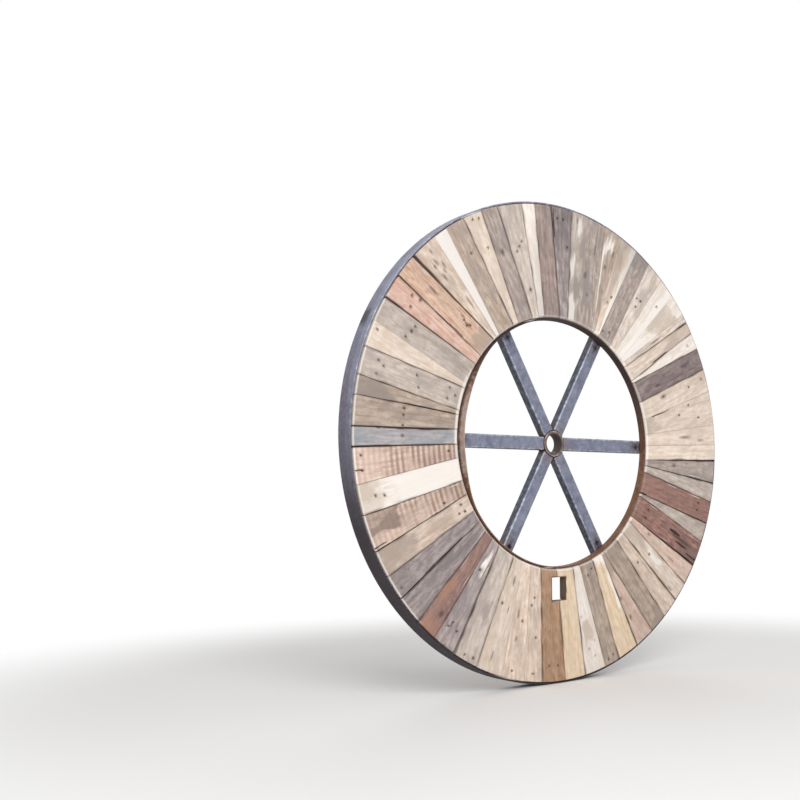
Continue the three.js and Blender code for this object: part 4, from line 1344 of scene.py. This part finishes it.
class DRUM_OT_spokes(bpy.types.Operator):
    """Build the six spokes, folded channels with a tie rod hole near the outer end"""

    bl_idname = "drum.spokes"
    bl_label = "Spokes"

    def execute(self, context):
        settings = context.scene.drum_steel
        for index in range(SPOKES):
            bm = self.channel(settings)
            wear = bm.verts.layers.float_color.new("wear")
            for vert in bm.verts:
                across = abs(vert.co.z) / (SPOKE_WIDTH / 2)
                cloud = ripple(vert.co.x * 7, index * 3.3, vert.co.z * 20)
                near_hub, near_hoop = smooth(*NEAR_HUB, vert.co.x), smooth(*NEAR_HOOP, vert.co.x)
                edge = smooth(0.66, 0.85, across)
                edge *= smooth(SPOKE_FRONT + 9 * MM, SPOKE_FRONT + 2 * MM, vert.co.y)
                rust = 0.35 * near_hub * max(cloud + 0.4, 0) + 0.3 * near_hoop * max(cloud + 0.3, 0)
                # Painted shade: the channel's sides, which lie in shadow behind its web, take the dark navy
                # second tone.
                leg = smooth(SPOKE_FRONT + 2 * MM, SPOKE_FRONT + 8 * MM, vert.co.y)
                from_hole = math.hypot(vert.co.x - settings.tie_rod_radius, vert.co.z)
                grime_and_shade = 0.95 * smooth(settings.tie_rod_hole * 0.85, settings.tie_rod_hole * 0.60, from_hole)
                second = max(0.9 * leg, 0.2 * near_hoop)
                vert[wear] = (grime_and_shade, 0.85 * edge + 0.2 * max(cloud, 0), second, min(rust, 1))
            bmesh.ops.transform(bm, matrix=turned(-index * SECTOR), verts=bm.verts)
            finish_piece(f"spoke_channel_{index + 1}", bm, "folded_channel_blue_scale",
                         [f"spoke_{index + 1}"])
        return {"FINISHED"}

    def channel(self, settings):
        """The channel along +X from the drum axis, its web to the front."""
        half = SPOKE_WIDTH / 2
        hole = settings.tie_rod_radius
        near = [-HOLE_SQUARE, -HOLE_SQUARE / 2, 0.0, HOLE_SQUARE / 2, HOLE_SQUARE]
        bm = bmesh.new()
        corners = [(-half, SPOKE_BACK), (-half, SPOKE_FRONT)]
        corners += [(offset, SPOKE_FRONT) for offset in near] + [(half, SPOKE_FRONT), (half, SPOKE_BACK)]
        verts = [bm.verts.new((SPOKE_START, depth, across)) for across, depth in corners]
        edges = [bm.edges.new(pair) for pair in zip(verts, verts[1:])]
        even = [mix(SPOKE_START, SPOKE_END, i / SPOKE_STEPS) for i in range(1, SPOKE_STEPS + 1)]
        even = [x for x in even if abs(x - hole) > HOLE_CLEAR]
        stations = sorted(even + [hole + offset for offset in near])
        before = SPOKE_START
        for x in stations:
            moved, made = extrude_open(bm, edges)
            bmesh.ops.translate(bm, vec=(x - before, 0, 0), verts=moved)
            edges = [e for e in made if all(abs(v.co.x - x) < TOUCH for v in e.verts)]
            before = x
        self.drill(bm, hole, settings.tie_rod_hole / 2)
        corner = {v for v in bm.verts
                  if abs(abs(v.co.z) - half) < TOUCH and abs(v.co.y - SPOKE_FRONT) < TOUCH}
        folds = [e for e in bm.edges if corner.issuperset(e.verts) and not e.is_boundary]
        bmesh.ops.bevel(bm, geom=folds, offset=settings.spoke_bend, offset_type="OFFSET", segments=4,
                        profile=0.5, affect="EDGES", material=-1)
        bmesh.ops.recalc_face_normals(bm, faces=bm.faces)
        if sum(face.normal.y for face in bm.faces if abs(face.normal.y) > 0.9) > 0:
            bmesh.ops.reverse_faces(bm, faces=bm.faces)
        bmesh.ops.solidify(bm, geom=bm.faces[:], thickness=settings.spoke_wall)
        face_outwards(bm)
        for edge in bm.edges:
            edge.smooth = edge.calc_face_angle(0) < math.radians(SHARP)
        return bm

    def drill(self, bm, hole, radius):
        """Opens the tie rod hole in the web: takes out a square and bridges it to a circle."""
        square = []
        for face in bm.faces:
            x, depth, across = face.calc_center_median()
            if max(abs(x - hole), abs(across)) < HOLE_SQUARE and abs(depth - SPOKE_FRONT) < TOUCH:
                square.append(face)
        bmesh.ops.delete(bm, geom=square, context="FACES")
        loop = [e for e in bm.edges if e.is_boundary
                and all(max(abs(v.co.x - hole), abs(v.co.z)) < HOLE_SQUARE + 1 * MM for v in e.verts)]
        place = Matrix.Translation((hole, SPOKE_FRONT, 0)) @ Matrix.Rotation(math.radians(90), 4, "X")
        made = bmesh.ops.create_circle(bm, segments=len(loop), radius=radius, matrix=place)["verts"]
        ring = list({edge for vert in made for edge in vert.link_edges})
        bmesh.ops.bridge_loops(bm, edges=loop + ring)


class DRUM_OT_welds(bpy.types.Operator):
    """Lay the weld beads between hub, spokes, hoop and rim"""

    bl_idname = "drum.welds"
    bl_label = "Welds"

    def execute(self, context):
        settings = context.scene.drum_steel
        bm = bmesh.new()
        for index in range(SPOKES):
            for path, radius in self.spoke_beads(settings):
                lay_bead(bm, [turned(-index * SECTOR) @ spot for spot in path], radius)
        ends = (RIM_FRONT + 3 * MM, RIM_BACK - 3 * MM)
        path = [clock_point(RIM_RADIUS - 1.6 * MM, settings.rim_joint, depth) for depth in ends]
        lay_bead(bm, path, 1.5 * MM)
        face_outwards(bm)
        finish_piece("weld_beads", bm, "weld_metal_rusted", [])
        return {"FINISHED"}

    def spoke_beads(self, settings):
        """Paths and radii of one spoke's beads, for a spoke along +X from the drum axis."""
        beads = []
        size = settings.weld_size
        half = SPOKE_WIDTH / 2
        reach = half - 2 * MM
        spread = [mix(-reach, reach, i / 6) for i in range(7)]
        gap = [(math.sqrt(HUB_RADIUS**2 - across**2) + SPOKE_START) / 2 for across in spread]
        front = [Vector((x, SPOKE_FRONT + 1.2 * MM, across)) for x, across in zip(gap, spread)]
        beads.append((front, size * 1.25))
        corner = math.sqrt(HUB_RADIUS**2 - reach**2)
        leg_x = (corner + SPOKE_START) / 2
        rim_x = RIM_RADIUS - settings.rim_thickness - 1.5 * MM
        for sign in (-1, 1):
            leg = [Vector((leg_x, depth, sign * reach)) for depth in (SPOKE_FRONT + 2 * MM, SPOKE_BACK)]
            beads.append((leg, size * 1.35))
            side = sign * (half + 0.5 * MM)
            outer = [Vector((rim_x, depth, side)) for depth in (CROSS_BACK + 4 * MM, SPOKE_BACK - 1 * MM)]
            beads.append((outer, size))
        hoop_x = HOOP_RADIUS - settings.hoop_thickness - 1.0 * MM
        middle = [Vector((math.sqrt(hoop_x**2 - across**2), SPOKE_FRONT - 1.0 * MM, across))
                  for across in (-18 * MM, 0, 18 * MM)]
        beads.append((middle, size * 0.9))
        return beads


# ------------------------------------------------------------------ finishes


class DRUM_OT_finishes(bpy.types.Operator):
    """Make the materials of the timbers and the steels"""

    bl_idname = "drum.finishes"
    bl_label = "Finishes"

    def execute(self, context):
        wood = context.scene.drum_timber
        steel = context.scene.drum_steel
        wood.timbers.clear()
        for name, values in TIMBERS.items():
            timber = wood.timbers.add()
            timber.name = name
            for field, value in zip(TIMBER_FIELDS, values):
                setattr(timber, field, linear(value) if isinstance(value, str) else value)
            timber_material(timber, wood)
        # Rim: hot-rolled bar, so a smooth blue-grey oxide skin, rubbed bright where it rolls, with painted
        # shade on its lower half and painted light on its upper left.
        steel_material("hot_rolled_flat_bar_mill_scale", steel.mill_scale, steel.mill_scale_dark,
                       steel.worn_steel, steel.rust_dark, steel.grime_and_shade,
                       rust_cover=0.10, rust_size=22.0, roughness=0.6, metallic=0.35)
        # Hoop: the same bar left to rust, so an even matt brown with brighter and darker clouds.
        steel_material("rusted_flat_bar", steel.rust, steel.rust_dark,
                       steel.rust_dusty, steel.rust_bright, steel.grime_and_shade,
                       rust_cover=0.35, rust_size=30.0, roughness=0.8, metallic=0.2)
        # Spokes: cold-folded channel with a pale blue oxide, scuffed on its edges, and painted shade in
        # dark navy on its sides.
        steel_material("folded_channel_blue_scale", steel.spoke_scale, steel.spoke_side_shade,
                       steel.worn_steel, steel.rust, steel.grime_and_shade,
                       rust_cover=0.06, rust_size=16.0, roughness=0.6, metallic=0.35)
        # Hub: thick tube with brown-grey scale, rusty in its bore.
        steel_material("thick_wall_tube_dark_scale", steel.tube_scale, steel.rust_dark,
                       steel.rust_dusty, steel.rust_dark, steel.grime_and_shade,
                       rust_cover=0.15, rust_size=12.0, roughness=0.6, metallic=0.35)
        # Welds: rippled metal, burnt dark and rusted.
        steel_material("weld_metal_rusted", steel.mill_scale_dark, steel.tube_scale,
                       steel.worn_steel, steel.rust_dark, steel.grime_and_shade,
                       rust_cover=0.25, rust_size=8.0, roughness=0.6, metallic=0.5)
        return {"FINISHED"}


# ------------------------------------------------------------------ stage

WHITE = (1, 1, 1, 1)
FLOOR_REACH = 30.0
FLOOR_FADE = (1.6, 3.2)          # distances at which the floor starts to turn white, and is white
KEY_PLACE = (-2.6, -5.0, 4.2)
FILL_PLACE = (3.5, 4.5, 3.5)
LAMP_SIZE = 4.0
FILM_WIDTH = 36.0                # millimetres


class DRUM_OT_stage(bpy.types.Operator):
    """Set the floor, the light and the camera"""

    bl_idname = "drum.stage"
    bl_label = "Stage"

    def execute(self, context):
        settings = context.scene.drum_stage
        scene = context.scene
        self.add_floor(settings)
        self.light_world(scene, settings)
        self.add_lamp(scene, "key_lamp", settings.key_level, KEY_PLACE)
        self.add_lamp(scene, "fill_lamp", settings.fill_level, FILL_PLACE)
        self.add_camera(scene, settings)
        scene.view_settings.view_transform = "Standard"
        return {"FINISHED"}

    def add_floor(self, settings):
        """A matt floor that turns plain white away from the drum."""
        material, add = new_material("matt_studio_floor")
        skin = add("BsdfDiffuse", {"Color": list(settings.floor)})
        white = add("Emission", {"Color": WHITE, "Strength": 1.0})
        place = add("TexCoord").outputs["Object"]
        away = add("VectorMath", {0: place}, operation="LENGTH").outputs["Value"]
        far = add("MapRange", {"Value": away, "From Min": FLOOR_FADE[0], "From Max": FLOOR_FADE[1]},
                  interpolation_type="SMOOTHSTEP").outputs[0]
        fade = add("Math", {0: seen_white(add), 1: far}, operation="MULTIPLY").outputs[0]
        both = add("MixShader", {0: fade, 1: skin.outputs[0], 2: white.outputs[0]})
        add("OutputMaterial", {"Surface": both.outputs[0]})
        bm = bmesh.new()
        bmesh.ops.create_grid(bm, x_segments=1, y_segments=1, size=FLOOR_REACH)
        new_object("studio_floor", bm, material.name)

    def light_world(self, scene, settings):
        """Even light from all round, and plain white where the background is seen."""
        world = bpy.data.worlds.new("studio_light")
        add = empty_nodes(world)
        seen = seen_white(add)
        even = add("Background", {"Color": WHITE, "Strength": settings.sky_level})
        white = add("Background", {"Color": WHITE, "Strength": 1.0})
        both = add("MixShader", {0: seen, 1: even.outputs[0], 2: white.outputs[0]})
        add("OutputWorld", {"Surface": both.outputs[0]})
        scene.world = world

    def add_lamp(self, scene, name, power, place):
        """A large soft lamp that faces the drum."""
        lamp = bpy.data.lights.new(name, "AREA")
        lamp.energy = power
        lamp.size = LAMP_SIZE
        holder = bpy.data.objects.new(name, lamp)
        holder.location = place
        holder.rotation_euler = (AXIS - Vector(place)).to_track_quat("-Z", "Y").to_euler()
        scene.collection.objects.link(holder)

    def add_camera(self, scene, settings):
        """The camera at its place, with its lens shifted."""
        camera = bpy.data.cameras.new("camera")
        camera.lens = settings.lens
        camera.sensor_width = FILM_WIDTH
        camera.shift_x, camera.shift_y = settings.lens_shift
        holder = bpy.data.objects.new("camera", camera)
        holder.location = settings.camera_place
        angles = (90 + settings.camera_pitch, settings.camera_roll, -settings.camera_yaw)
        holder.rotation_euler = Euler([math.radians(angle) for angle in angles], "XYZ")
        scene.collection.objects.link(holder)
        scene.camera = holder


# ------------------------------------------------------------------ panel and registration

STEPS = (
    DRUM_OT_finishes,
    DRUM_OT_outer_rim,
    DRUM_OT_inner_hoop,
    DRUM_OT_hub,
    DRUM_OT_spokes,
    DRUM_OT_front_boards,
    DRUM_OT_cross_boards,
    DRUM_OT_nails,
    DRUM_OT_welds,
    DRUM_OT_stage,
)


class DRUM_PT_flange(bpy.types.Panel):
    """Sizes, finishes and building steps of the drum flange"""

    bl_idname = "DRUM_PT_flange"
    bl_label = "Drum flange"
    bl_space_type = "VIEW_3D"
    bl_region_type = "UI"
    bl_category = "Drum flange"

    def draw(self, context):
        for step in STEPS:
            self.layout.operator(step.bl_idname)
        for group in (context.scene.drum_timber, context.scene.drum_steel, context.scene.drum_stage):
            box = self.layout.box()
            for name in group.bl_rna.properties.keys():
                if name not in ("rna_type", "name", "timbers"):
                    box.prop(group, name)


GROUPS = (DrumTimber, DrumTimberSettings, DrumSteelSettings, DrumStageSettings)


def register():
    for item in GROUPS + STEPS + (DRUM_PT_flange,):
        bpy.utils.register_class(item)
    bpy.types.Scene.drum_timber = PointerProperty(type=DrumTimberSettings)
    bpy.types.Scene.drum_steel = PointerProperty(type=DrumSteelSettings)
    bpy.types.Scene.drum_stage = PointerProperty(type=DrumStageSettings)


def unregister():
    del bpy.types.Scene.drum_stage
    del bpy.types.Scene.drum_steel
    del bpy.types.Scene.drum_timber
    for item in reversed(GROUPS + STEPS + (DRUM_PT_flange,)):
        bpy.utils.unregister_class(item)


def main():
    """Builds every piece in order."""
    register()
    for step in STEPS:
        group, name = step.bl_idname.split(".")
        getattr(getattr(bpy.ops, group), name)()
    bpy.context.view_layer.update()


if __name__ == "__main__":
    main()
